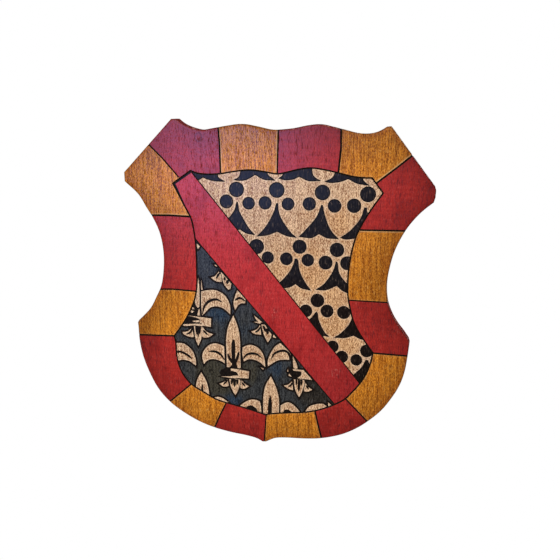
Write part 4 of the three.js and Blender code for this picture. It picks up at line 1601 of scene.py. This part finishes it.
def raw_oak(name="raw_oak", along_x=False, pale=0.0):
    """Planed oak that was never finished, gone grey-brown with age and dust."""
    r = Recipe(name)
    if along_x:
        grain = Grain(r, r.z + r.y * 1.3, r.x, 3.0)
    else:
        stave = r.math("FLOOR", r.x * STAVES_PER_MM + 0.5)
        grain = Grain(r, r.x + r.y * 1.3, r.z, stave * 7.3)
    light = r.blend(pale, srgb(182, 144, 100), srgb(204, 170, 126))
    colour = r.blend(grain.bands, light, srgb(152, 112, 72))
    colour = r.blend(r.step(grain.blotch, 0.4, 0.8) * 0.4, colour, srgb(150, 122, 92))
    colour = r.blend(grain.streak * 0.3, colour, srgb(122, 88, 56))
    colour = r.blend(grain.pores * 0.6, colour, srgb(86, 60, 38))
    dust = r.step(r.noise(r.place, 22.0, 4.0, 0.6), 0.5, 0.75)
    colour = r.blend(dust * 0.25, colour, srgb(122, 106, 88))
    ripple = r.math("SINE", (r.x if along_x else r.z) * 1.1) * 0.5
    height = grain.pores * -0.8 + grain.streak * -0.4 + grain.bands * 0.4 + ripple * 0.25
    if not along_x:
        glue = r.step(r.fact("seam"), 0.5, 0.1)
        colour = r.scaled(colour, r.math("FRACT", stave * 0.377 + 0.4) * 0.26 + 0.86)
        colour = r.blend(glue * 0.7, colour, srgb(70, 46, 28))
        height = height - glue
    return r.finish(colour, 0.68 + grain.pores * 0.15, height, 0.14, DULL_GLOSS)


finishes[RAW] = raw_oak()
paint_materials = [finishes[paint] for paint in range(len(PAINTS))]
for mesh in stave_meshes:
    for material in paint_materials:
        mesh.materials.append(material)
print("finishes on the staves:", len(paint_materials))

# %% [markdown]
# ## Bores in the staves
#
# Three dowels cross each joint, and two screws enter each stave from behind, or four the middle
# one, which carries the hanger. The holes are cut out of the staves as they are in the packed
# model, so that the staves are true pieces and not shells round nothing.

# %% Turned solids, and cuts with them
SIDES = 32


def lathe(profile, sides=SIDES):
    """A closed turned solid about z: profile runs (radius, z) from the axis to the axis."""
    points, faces, rings = [], [], []
    for radius, z in profile:
        count = 1 if radius == 0 else sides
        rings.append(range(len(points), len(points) + count))
        for k in range(count):
            angle = 2 * math.pi * k / sides
            points.append((radius * math.cos(angle), radius * math.sin(angle), z))
    for low, high in zip(rings, rings[1:]):
        for k in range(sides):
            a, b = low[k % len(low)], low[(k + 1) % len(low)]
            c, d = high[(k + 1) % len(high)], high[k % len(high)]
            face = list(dict.fromkeys((a, b, c, d)))
            if len(face) > 2:
                faces.append(face)
    return np.array(points) * MM, faces


def turned(points, axis, at):
    """Points of a piece about z, turned so that z points along an axis, and moved."""
    spin = Vector((0, 0, 1)).rotation_difference(Vector(axis)).to_matrix()
    return np.array(points) @ np.array(spin).T + np.array(at)


def rod(radius, length):
    """A plain bore as long as it says, about its middle."""
    return lathe([(0, -length / 2), (radius, -length / 2), (radius, length / 2), (0, length / 2)])


def node_middle(name):
    """The middle of a packed node's box."""
    low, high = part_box(name)
    return (low + high) / 2


def applied(piece):
    """Give an object the mesh that its modifiers make."""
    shown = piece.evaluated_get(bpy.context.evaluated_depsgraph_get())
    mesh = bpy.data.meshes.new_from_object(shown)
    piece.modifiers.clear()
    piece.data = mesh


def cut(piece, bores, index=0, materials=()):
    """Cut closed bores out of a piece."""
    points, faces, first = [], [], 0
    for bore_points, bore_faces in bores:
        points.extend(bore_points)
        faces.extend([k + first for k in face] for face in bore_faces)
        first += len(bore_points)
    cutter = new_object("bores", new_mesh("bores", points, faces, [index] * len(faces), materials))
    modifier = piece.modifiers.new("bores", "BOOLEAN")
    modifier.object, modifier.operation, modifier.solver = cutter, "DIFFERENCE", "MANIFOLD"
    applied(piece)
    bpy.data.objects.remove(cutter)


print("a bore is a solid of", len(rod(1, 1)[1]), "faces")

# %% Cut the bores
# Radius and length of the dowels' bores, and radius and depth of the screws' pilot holes
DOWEL_BORE = (4.3, 30.6)
BATTEN_PILOT = (2.35, 11.4)
HANGER_PILOT = (1.85, 11.4)
# A dowel's middle lies on a joint to within this
AT_JOINT = 0.1 * MM
# Edges that bend more than this stay sharp
STAVE_CREASE = math.radians(25)

nodes = frame["nodes"]
dowels = sorted(n for n in nodes if n.startswith("dowel"))
batten_screws = sorted(n for n in nodes if "batten_screw" in n)
hanger_screws = sorted(n for n in nodes if n.startswith("hanger_screw"))
for i, mesh in enumerate(stave_meshes):
    piece = new_object(f"board_{i + 1}", mesh)
    low, high = boxes[i]
    bores = []
    for name in dowels:
        middle = node_middle(name)
        if low.x - AT_JOINT < middle.x < high.x + AT_JOINT:
            points, faces = rod(*DOWEL_BORE)
            bores.append((turned(points, (1, 0, 0), middle), faces))
    for name in batten_screws + hanger_screws:
        middle = node_middle(name)
        if low.x < middle.x < high.x:
            radius, deep = BATTEN_PILOT if name in batten_screws else HANGER_PILOT
            points, faces = rod(radius, deep * 2)
            bores.append((turned(points, (0, 1, 0), (middle.x, BACK_Y, middle.z)), faces))
    cut(piece, bores, RAW, paint_materials)
    piece.data.set_sharp_from_angle(angle=STAVE_CREASE)
    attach(piece, "shield")
    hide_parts(STAVES[i])
    print(piece.name, "has", len(bores), "bores, closed:", is_closed(piece.data))

# %% [markdown]
# ## Metal
#
# The batten screws are turned brass, gone dull, and the hanger is zinc-plated steel. Bare metal
# is told by its roughness more than by its colour: fine scratches run along it, dull blotches
# lie over it, and a little grime sits in spots.

# %% Mix brass and steel
MOSTLY_METAL = 0.96


def metal(name, tint, dark, rough):
    """Bare metal: tint where it is rubbed, dark where it has dulled, with fine scratches."""
    r = Recipe(name)
    dull = r.noise(r.place, 260.0, 4.0, 0.65)
    scratches = r.noise(r.vector(r.x * 3.2, r.y * 3.2, r.z * 0.3), 1.0, 2.0, 0.6)
    colour = r.blend(r.step(dull, 0.4, 0.7) * 0.7, tint, dark)
    grime = r.step(r.noise(r.place, 700.0, 3.0, 0.6), 0.6, 0.75)
    colour = r.blend(grime * 0.35, colour, r.scaled(dark, 0.45))
    roughness = dull * 0.25 + scratches * 0.1 + rough
    return r.finish(colour, roughness, scratches + dull * 0.5, 0.02, metallic=MOSTLY_METAL)


steel = metal("steel", srgb(190, 192, 194), srgb(140, 143, 146), 0.28)
brass = metal("brass", srgb(206, 172, 104), srgb(146, 112, 60), 0.3)
print("steel and brass:", nodes_in(steel, brass), "nodes")

# %% [markdown]
# ## Battens and strap
#
# Two planed oak battens keep the board flat, and a folded steel strap carries the ring. The
# packed ones have the right chamfers, folds and holes, so a copy of each is enough. A plane
# leaves no knife-sharp edge, nor does a press, so each edge of the copy gets a very small
# rounding, which also catches the light.

# %% Copies of packed pieces with softened edges
# Corners of the packed triangles that lie closer than this, in metres, are one corner
SAME_CORNER = 1e-6
# Faces that meet at less than the first angle are one face, edges that bend more than the
# second are rounded, and those that bend more than the third stay sharp
FLAT, ROUNDED, CREASE = math.radians(0.5), math.radians(30), math.radians(50)

batten_oak = raw_oak("batten_oak", along_x=True, pale=0.8)


def dressed(node, name, round_by, material):
    """A copy of a packed node, its triangles merged into faces and its edges rounded."""
    shell = bmesh.new()
    shell.from_mesh(nodes[node].data)
    bmesh.ops.remove_doubles(shell, verts=shell.verts, dist=SAME_CORNER)
    bmesh.ops.dissolve_limit(shell, angle_limit=FLAT, verts=shell.verts, edges=shell.edges)
    for face in shell.faces:
        face.smooth, face.material_index = True, 0
    mesh = bpy.data.meshes.new(name)
    shell.to_mesh(mesh)
    shell.free()
    mesh.materials.append(material)
    piece = new_object(name, mesh)
    bevel = piece.modifiers.new("softened", "BEVEL")
    bevel.width, bevel.segments, bevel.angle_limit = round_by, 2, ROUNDED
    applied(piece)
    piece.data.set_sharp_from_angle(angle=CREASE)
    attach(piece, "shield")
    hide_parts(node)
    print(name, len(piece.data.polygons), "faces")


for level in ("upper", "lower"):
    dressed(f"{level}_batten", f"batten_{level}", 0.4 * MM, batten_oak)
dressed("hanger_strap", "strap", 0.2 * MM, steel)

# %% [markdown]
# ## Dowels
#
# A bought dowel is fluted so that glue can run along it, and its ends are chamfered so that it
# finds its bore. It could be a plain cylinder, as nobody sees it in the glued board. But the
# pieces are also shown apart, so it is turned once with its flutes pressed in, and then placed
# twelve times.

# %% Dowels
FLUTES, FLUTE_DEPTH, CHAMFER = 12, 0.25, 1.2
DOWEL_CREASE = math.radians(30)


def beech():
    """Unfinished beech: even and pale, with short brown flecks along the grain."""
    r = Recipe("beech")
    flecks = r.noise(r.vector(r.x * 1.4, r.y * 1.4, r.z * 0.35), 1.0, 3.0, 0.6)
    colour = r.blend(flecks, srgb(222, 190, 150), srgb(196, 156, 112))
    colour = r.blend(r.step(flecks, 0.58, 0.68) * 0.6, colour, srgb(156, 110, 70))
    return r.finish(colour, 0.66 + flecks * 0.1, flecks, 0.05, DULL_GLOSS)


def placed(name, mesh, where, node):
    """A mesh that is used many times, set in one packed node's place."""
    piece = new_object(name, mesh)
    piece.matrix_world = where
    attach(piece, "shield")
    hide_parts(node)


def dowel_mesh(radius, length):
    """A fluted dowel about z."""
    half, end = length / 2, radius - CHAMFER
    upper = [(radius, half - CHAMFER), (end, half), (0, half)]
    lower = [(far, -z) for far, z in upper[::-1]]
    points, faces = lathe(lower + upper, FLUTES * 6)
    angle = np.arctan2(points[:, 1], points[:, 0])
    far = np.hypot(points[:, 0], points[:, 1])
    on_side = far > (radius - 0.1) * MM
    pressed = FLUTE_DEPTH * MM * np.clip(-np.cos(FLUTES * angle), 0, 1) * on_side
    points[:, :2] *= (1 - pressed / np.maximum(far, 1e-9))[:, None]
    mesh = new_mesh("dowel", points, faces, materials=[beech()])
    mesh.set_sharp_from_angle(angle=DOWEL_CREASE)
    return mesh


def towards(axis):
    """The turn that takes a piece's own z to an axis."""
    return Vector((0, 0, 1)).rotation_difference(Vector(axis)).to_matrix().to_4x4()


dowel_low, dowel_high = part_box(dowels[0])
one_dowel = dowel_mesh((dowel_high.z - dowel_low.z) / 2 / MM, (dowel_high.x - dowel_low.x) / MM)
for name in dowels:
    where = Matrix.Translation(node_middle(name)) @ towards((1, 0, 0))
    placed(f"fluted_{name}", one_dowel, where, name)
print(len(dowels), "dowels, closed:", is_closed(one_dowel))

# %% [markdown]
# ## Screws
#
# A countersunk wood screw is turned: a flat head with a slot, a cone, a plain shank and a
# thread. The thread is drawn as rings here instead of one spiral, since it sits in the wood and
# rings are closed at no cost. The slot is cut out last, as in the shop. Each screw stops at its
# own angle, because nobody lines the slots up.

# %% Screws
# Shares of the head's radius
SLOT_WIDTH, SLOT_DEPTH = 0.2, 0.28
# The share of the length with no thread, the thread's pitch, its depth as a share of the
# shank's radius, and the length of the bare point
PLAIN_SHARE, PITCH, THREAD_DEPTH, POINT = 0.3, 1.3, 0.22, 3.0
SCREW_CREASE = math.radians(28)
# Head, shank and length in millimetres
BRASS_SIZE, STEEL_SIZE = (3.92, 2.0, 29.0), (2.92, 1.5, 13.0)
# The first screw's slot stands at this angle, and each next one is turned on by so much
FIRST_TURN, NEXT_TURN = 37, 71


def screw_mesh(name, head, shank, length, material):
    """A wood screw about z, its flat head at z 0 and its point at minus length."""
    cone, plain, root = head - shank, length * PLAIN_SHARE, shank * (1 - THREAD_DEPTH)
    profile = [(0, 0), (head * 0.86, 0), (head * 0.96, -0.08), (head, -0.28)]
    profile += [(shank, -cone - 0.2), (shank, -plain)]
    for k in range(int((length - plain - POINT) / PITCH)):
        z = -plain - k * PITCH
        profile += [(root, z - 0.25 * PITCH), (root, z - 0.7 * PITCH), (shank, z - PITCH)]
    profile += [(shank * 0.7, -length + 1.6), (0, -length)]
    points, faces = lathe(profile[::-1], 40)
    piece = new_object("screw", new_mesh(name, points, faces, materials=[material]))
    half_slot, reach = head * SLOT_WIDTH * MM / 2, 2 * head * MM
    corners = [
        (x, y, z)
        for x in (-reach, reach)
        for y in (-half_slot, half_slot)
        for z in (-head * SLOT_DEPTH * MM, MM)
    ]
    box_faces = [(0, 1, 3, 2), (4, 6, 7, 5), (0, 4, 5, 1), (2, 3, 7, 6), (0, 2, 6, 4), (1, 5, 7, 3)]
    cut(piece, [(corners, box_faces)], 0, [material])
    mesh = piece.data
    mesh.name = name
    mesh.set_sharp_from_angle(angle=SCREW_CREASE)
    bpy.data.objects.remove(piece)
    return mesh


brass_screw = screw_mesh("batten_screw", *BRASS_SIZE, brass)
steel_screw = screw_mesh("strap_screw", *STEEL_SIZE, steel)
print("screws closed:", is_closed(brass_screw), is_closed(steel_screw))
outwards = towards((0, 1, 0))
for i, name in enumerate(batten_screws + hanger_screws):
    middle, face = node_middle(name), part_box(name)[1].y
    turn = Matrix.Rotation(math.radians(FIRST_TURN + NEXT_TURN * i), 4, "Z")
    where = Matrix.Translation((middle.x, face, middle.z)) @ outwards @ turn
    mesh, slot = (brass_screw, "brass") if name in batten_screws else (steel_screw, "steel")
    placed(f"slotted_{name}", mesh, where, name)
print(len(batten_screws), "brass and", len(hanger_screws), "steel screws")

# %% [markdown]
# ## The hanger ring
#
# A D ring is one length of wire bent round: a straight bar that turns in the strap's eye, two
# tight corners, and a half circle that goes over the hook. It is swept along that path, as the
# wire was bent. The real ring's ends meet in the middle of the bar, which the eye hides, so the
# joint isn't drawn. This is the one piece that moves, so it alone rides on the ring's body.

# %% Sweep the ring
# Radius of the wire, and of the middle of its tight corners
WIRE, CORNER = 1.5, 3.0


def ring_path(half, height, corner):
    """The middle of the wire about its bar: (x, z) in millimetres."""
    path = []

    def arc(x, z, radius, start, end, steps):
        for k in range(steps + 1):
            a = math.radians(start + (end - start) * k / steps)
            path.append((x + radius * math.cos(a), z + radius * math.sin(a)))

    arc(half - corner, corner, corner, -90, 0, 10)
    arc(0, height - half, half, 0, 180, 48)
    arc(corner - half, corner, corner, 180, 270, 10)
    path.extend((x, 0.0) for x in np.linspace(corner - half, half - corner, 13)[1:-1])
    return np.array(path)


def swept(path, radius, sides=20):
    """A round wire round a closed path in the x, z plane."""
    along = np.roll(path, -1, axis=0) - np.roll(path, 1, axis=0)
    along /= np.linalg.norm(along, axis=1)[:, None]
    side = np.column_stack([along[:, 1], -along[:, 0]])
    points = []
    for (x, z), (sx, sz) in zip(path, side):
        for k in range(sides):
            a = 2 * math.pi * k / sides
            c, s = radius * math.cos(a), radius * math.sin(a)
            points.append((x + sx * c, s, z + sz * c))
    faces = []
    for i in range(len(path)):
        here, there = i * sides, (i + 1) % len(path) * sides
        for k in range(sides):
            after = (k + 1) % sides
            faces.append((here + k, here + after, there + after, there + k))
    return np.array(points), faces


ring_low, ring_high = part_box("hanger_ring")
pivot = Vector(frame["joints"][0]["pos_m"])
half_width = (ring_high.x - ring_low.x) / 2 / MM - WIRE
ring_height = (ring_high.z - pivot.z) / MM - WIRE
ring_points, ring_faces = swept(ring_path(half_width, ring_height, CORNER), WIRE)
ring_mesh = new_mesh("ring", ring_points * MM + np.array(pivot), ring_faces, materials=[steel])
ring = new_object("d_ring", ring_mesh)
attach(ring, "ring")
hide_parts("hanger_ring")
print("ring", round(half_width, 2), "by", round(ring_height, 2), "mm, closed:", is_closed(ring_mesh))

# %% [markdown]
# ## Felt pads
#
# A pressed felt pad is a stamped disc, so its edge is cut square, but its face and edge are
# hairy. So the disc's rim wanders in and out by a few hundredths, and its material has the soft
# bright sheen that fibres give cloth.

# %% Felt discs
FELT_CREASE = math.radians(60)
# How far the rim is drawn in, and its waves: size, count round the disc, and start
DRAWN_IN = 0.012
RIM_WAVES = [(0.005, 7, 1.1), (0.004, 19, 0.0), (0.003, 31, 2.0)]
PAD_TURN = 50


def felt():
    """Pressed wool: a mottled grey-green, matt, with short fibres in all directions."""
    r = Recipe("felt")
    tufts = r.noise(r.place, 900.0, 5.0, 0.7)
    threads = r.noise(r.vector(r.x * 5.0 + tufts * 6, r.z * 1.2, r.y * 3.0), 1.0, 3.0, 0.7)
    colour = r.blend(r.step(tufts, 0.3, 0.7), srgb(92, 108, 92), srgb(128, 142, 122))
    colour = r.blend(r.step(threads, 0.6, 0.72) * 0.6, colour, srgb(176, 182, 164))
    sheen = {"Sheen Weight": 0.5, "Sheen Roughness": 0.5}
    roughness = 0.92 + tufts * 0.05
    return r.finish(colour, roughness, tufts + threads, 0.25, gloss=0.1, cloth=sheen)


def felt_mesh(radius, thick):
    """A disc with a soft rim, its face at z 0 and its back at z thick."""
    face = [(radius * t, 0) for t in (0.25, 0.5, 0.75, 0.93)]
    rim = [(0.99, 0.12), (1, 0.5), (0.992, thick * 0.5), (1, thick - 0.5), (0.975, thick - 0.1)]
    back = [(radius * t, thick) for t in (0.9, 0.75, 0.5, 0.25)]
    profile = [(0, 0), *face, *((radius * t, z) for t, z in rim), *back, (0, thick)]
    points, faces = lathe(profile, 72)
    angle = np.arctan2(points[:, 1], points[:, 0])
    wander = sum(size * np.sin(count * angle + start) for size, count, start in RIM_WAVES)
    points[:, :2] *= (1 - DRAWN_IN + wander)[:, None]
    mesh = new_mesh("felt", points, faces, materials=[felt()])
    mesh.set_sharp_from_angle(angle=FELT_CREASE)
    return mesh


pads = sorted(n for n in nodes if n.startswith("felt_pad"))
pad_low, pad_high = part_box(pads[0])
one_pad = felt_mesh((pad_high.x - pad_low.x) / 2 / MM, (pad_high.y - pad_low.y) / MM)
for i, name in enumerate(pads):
    middle, face = node_middle(name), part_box(name)[0].y
    turn = Matrix.Rotation(math.radians(PAD_TURN * i), 4, "Z")
    where = Matrix.Translation((middle.x, face, middle.z)) @ outwards @ turn
    placed(name.replace("felt_pad", "pad"), one_pad, where, name)
print(len(pads), "felt pads, closed:", is_closed(one_pad))

# %% [markdown]
# ## World and floor
#
# The photo shows the shield on plain white. So the world is white, at full strength only where
# the camera sees it or where a gloss or glass shows it, and dimmer as a light, so that it
# doesn't wash the colours out. A pale floor far below takes the shadow.

# %% The world and the floor
WORLD_LIGHT = 0.47
FLOOR_Z, FLOOR_SIDE, FLOOR_FRONT, FLOOR_BACK = -1.3, 2, -1.6, 0.6

scene = bpy.context.scene
scene.view_settings.view_transform = "Standard"
scene.world = bpy.data.worlds.new("white")
sky = Nodes(scene.world)
camera_ray, glossy_ray, clear_ray = sky.add(
    "LightPath", out=("Is Camera Ray", "Is Glossy Ray", "Is Transmission Ray")
)
seen = sky.math("MAXIMUM", sky.math("MAXIMUM", camera_ray, glossy_ray), clear_ray)
strength = sky.add("MapRange", None, {"Value": seen, "To Min": WORLD_LIGHT}, "Result")
white = sky.add("Background", None, {"Color": (1, 1, 1, 1), "Strength": strength})
sky.add("OutputWorld", None, {"Surface": white})


def floor_paint():
    """A pale floor, faintly mottled."""
    r = Recipe("floor_paint")
    mottle = r.noise(r.place, 3.0, 3.0)
    colour = r.blend(mottle, srgb(236, 236, 236), srgb(246, 246, 246))
    return r.finish(colour, 0.8 + mottle * 0.1)


floor_points = [
    (-FLOOR_SIDE, FLOOR_FRONT, FLOOR_Z), (FLOOR_SIDE, FLOOR_FRONT, FLOOR_Z),
    (FLOOR_SIDE, FLOOR_BACK, FLOOR_Z), (-FLOOR_SIDE, FLOOR_BACK, FLOOR_Z),
]
floor_mesh = new_mesh("floor", floor_points, [(0, 1, 2, 3)], materials=[floor_paint()])
floor = new_object("floor", floor_mesh)
floor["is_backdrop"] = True
print("the world lights the shield at", WORLD_LIGHT, "of what shows, the floor is at", FLOOR_Z)

# %% [markdown]
# ## Lamps
#
# One wide soft lamp in front lights the face, and one like it behind shows the back from there.
# In the photo a cool gloss lies over the left of the board, as from a window. So a third, blue
# lamp stands in front of the left side, and only gloss shows it: it adds no blue to the paints.

# %% Set up the lamps
def soft_lamp(name, at, aim, side, watts, tint):
    """A square lamp at one place, turned towards another."""
    lamp = bpy.data.lights.new(name, "AREA")
    lamp.shape, lamp.size, lamp.size_y = "RECTANGLE", side, side
    lamp.energy, lamp.color = watts, tint
    made = new_object(name, lamp)
    made.location = at
    made.rotation_mode = "QUATERNION"
    made.rotation_quaternion = (Vector(aim) - Vector(at)).to_track_quat("-Z", "Y")
    print(name, "lamp,", watts, "watts")
    return made


LAMPS = {
    "key": {
        "at": (-0.8, -3.4, 1.0), "aim": (0, 0, -0.2), "side": 2.0, "watts": 80,
        "tint": (1.0, 0.985, 0.96),
    },
    "back_fill": {
        "at": (0.9, 3.2, 0.5), "aim": (0, 0, -0.22), "side": 2.0, "watts": 60,
        "tint": (1.0, 0.99, 0.97),
    },
    "window": {
        "at": (-0.66, -2.4, -0.06), "aim": (-0.66, 0, -0.06), "side": 0.6, "watts": 62,
        "tint": (0.25, 0.33, 0.86),
    },
}
lamps = {name: soft_lamp(name, **values) for name, values in LAMPS.items()}
lamps["window"].visible_diffuse = False

# %% [markdown]
# ## Camera
#
# The photo is taken a little from above and from the right: it shows a thin band of the upper
# and the right-hand edges. Its angles, distance and lens were found by laying the drawing over
# the photo until outline and lines met. The camera also tips a little, as a hand does.

# %% Place the camera
AZIMUTH, ELEVATION, ROLL = math.radians(9.5), math.radians(10.5), math.radians(2.4)
AIM = Vector((0.011, FRONT_Y, MIDDLE_Z + 0.0124))
AWAY = 1.297
HALF_VIEW = math.radians(18.24)

camera_data = bpy.data.cameras.new("camera")
camera = new_object("camera", camera_data)
camera_data.sensor_width = 36.0
camera_data.lens = camera_data.sensor_width / 2 / math.tan(HALF_VIEW)
camera_data.clip_start, camera_data.clip_end = 0.05, 50
sideways, level, up = math.sin(AZIMUTH), math.cos(ELEVATION), math.sin(ELEVATION)
back = Vector((sideways * level, -math.cos(AZIMUTH) * level, up))
camera.location = AIM + back * AWAY
camera.rotation_mode = "QUATERNION"
camera.rotation_quaternion = back.to_track_quat("Z", "Y") @ Quaternion((0, 0, 1), ROLL)
scene.camera = camera
print("camera at", [round(v, 3) for v in camera.location], "lens", round(camera_data.lens, 2))

# %% [markdown]
# ## Measure the size
#
# The dressed shield has to stay inside the packed one's box, so its box is measured and
# printed.

# %% Print the dressed shield's box
low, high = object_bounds()
print("visual box:", [round(b - a, 4) for a, b in zip(low, high)])
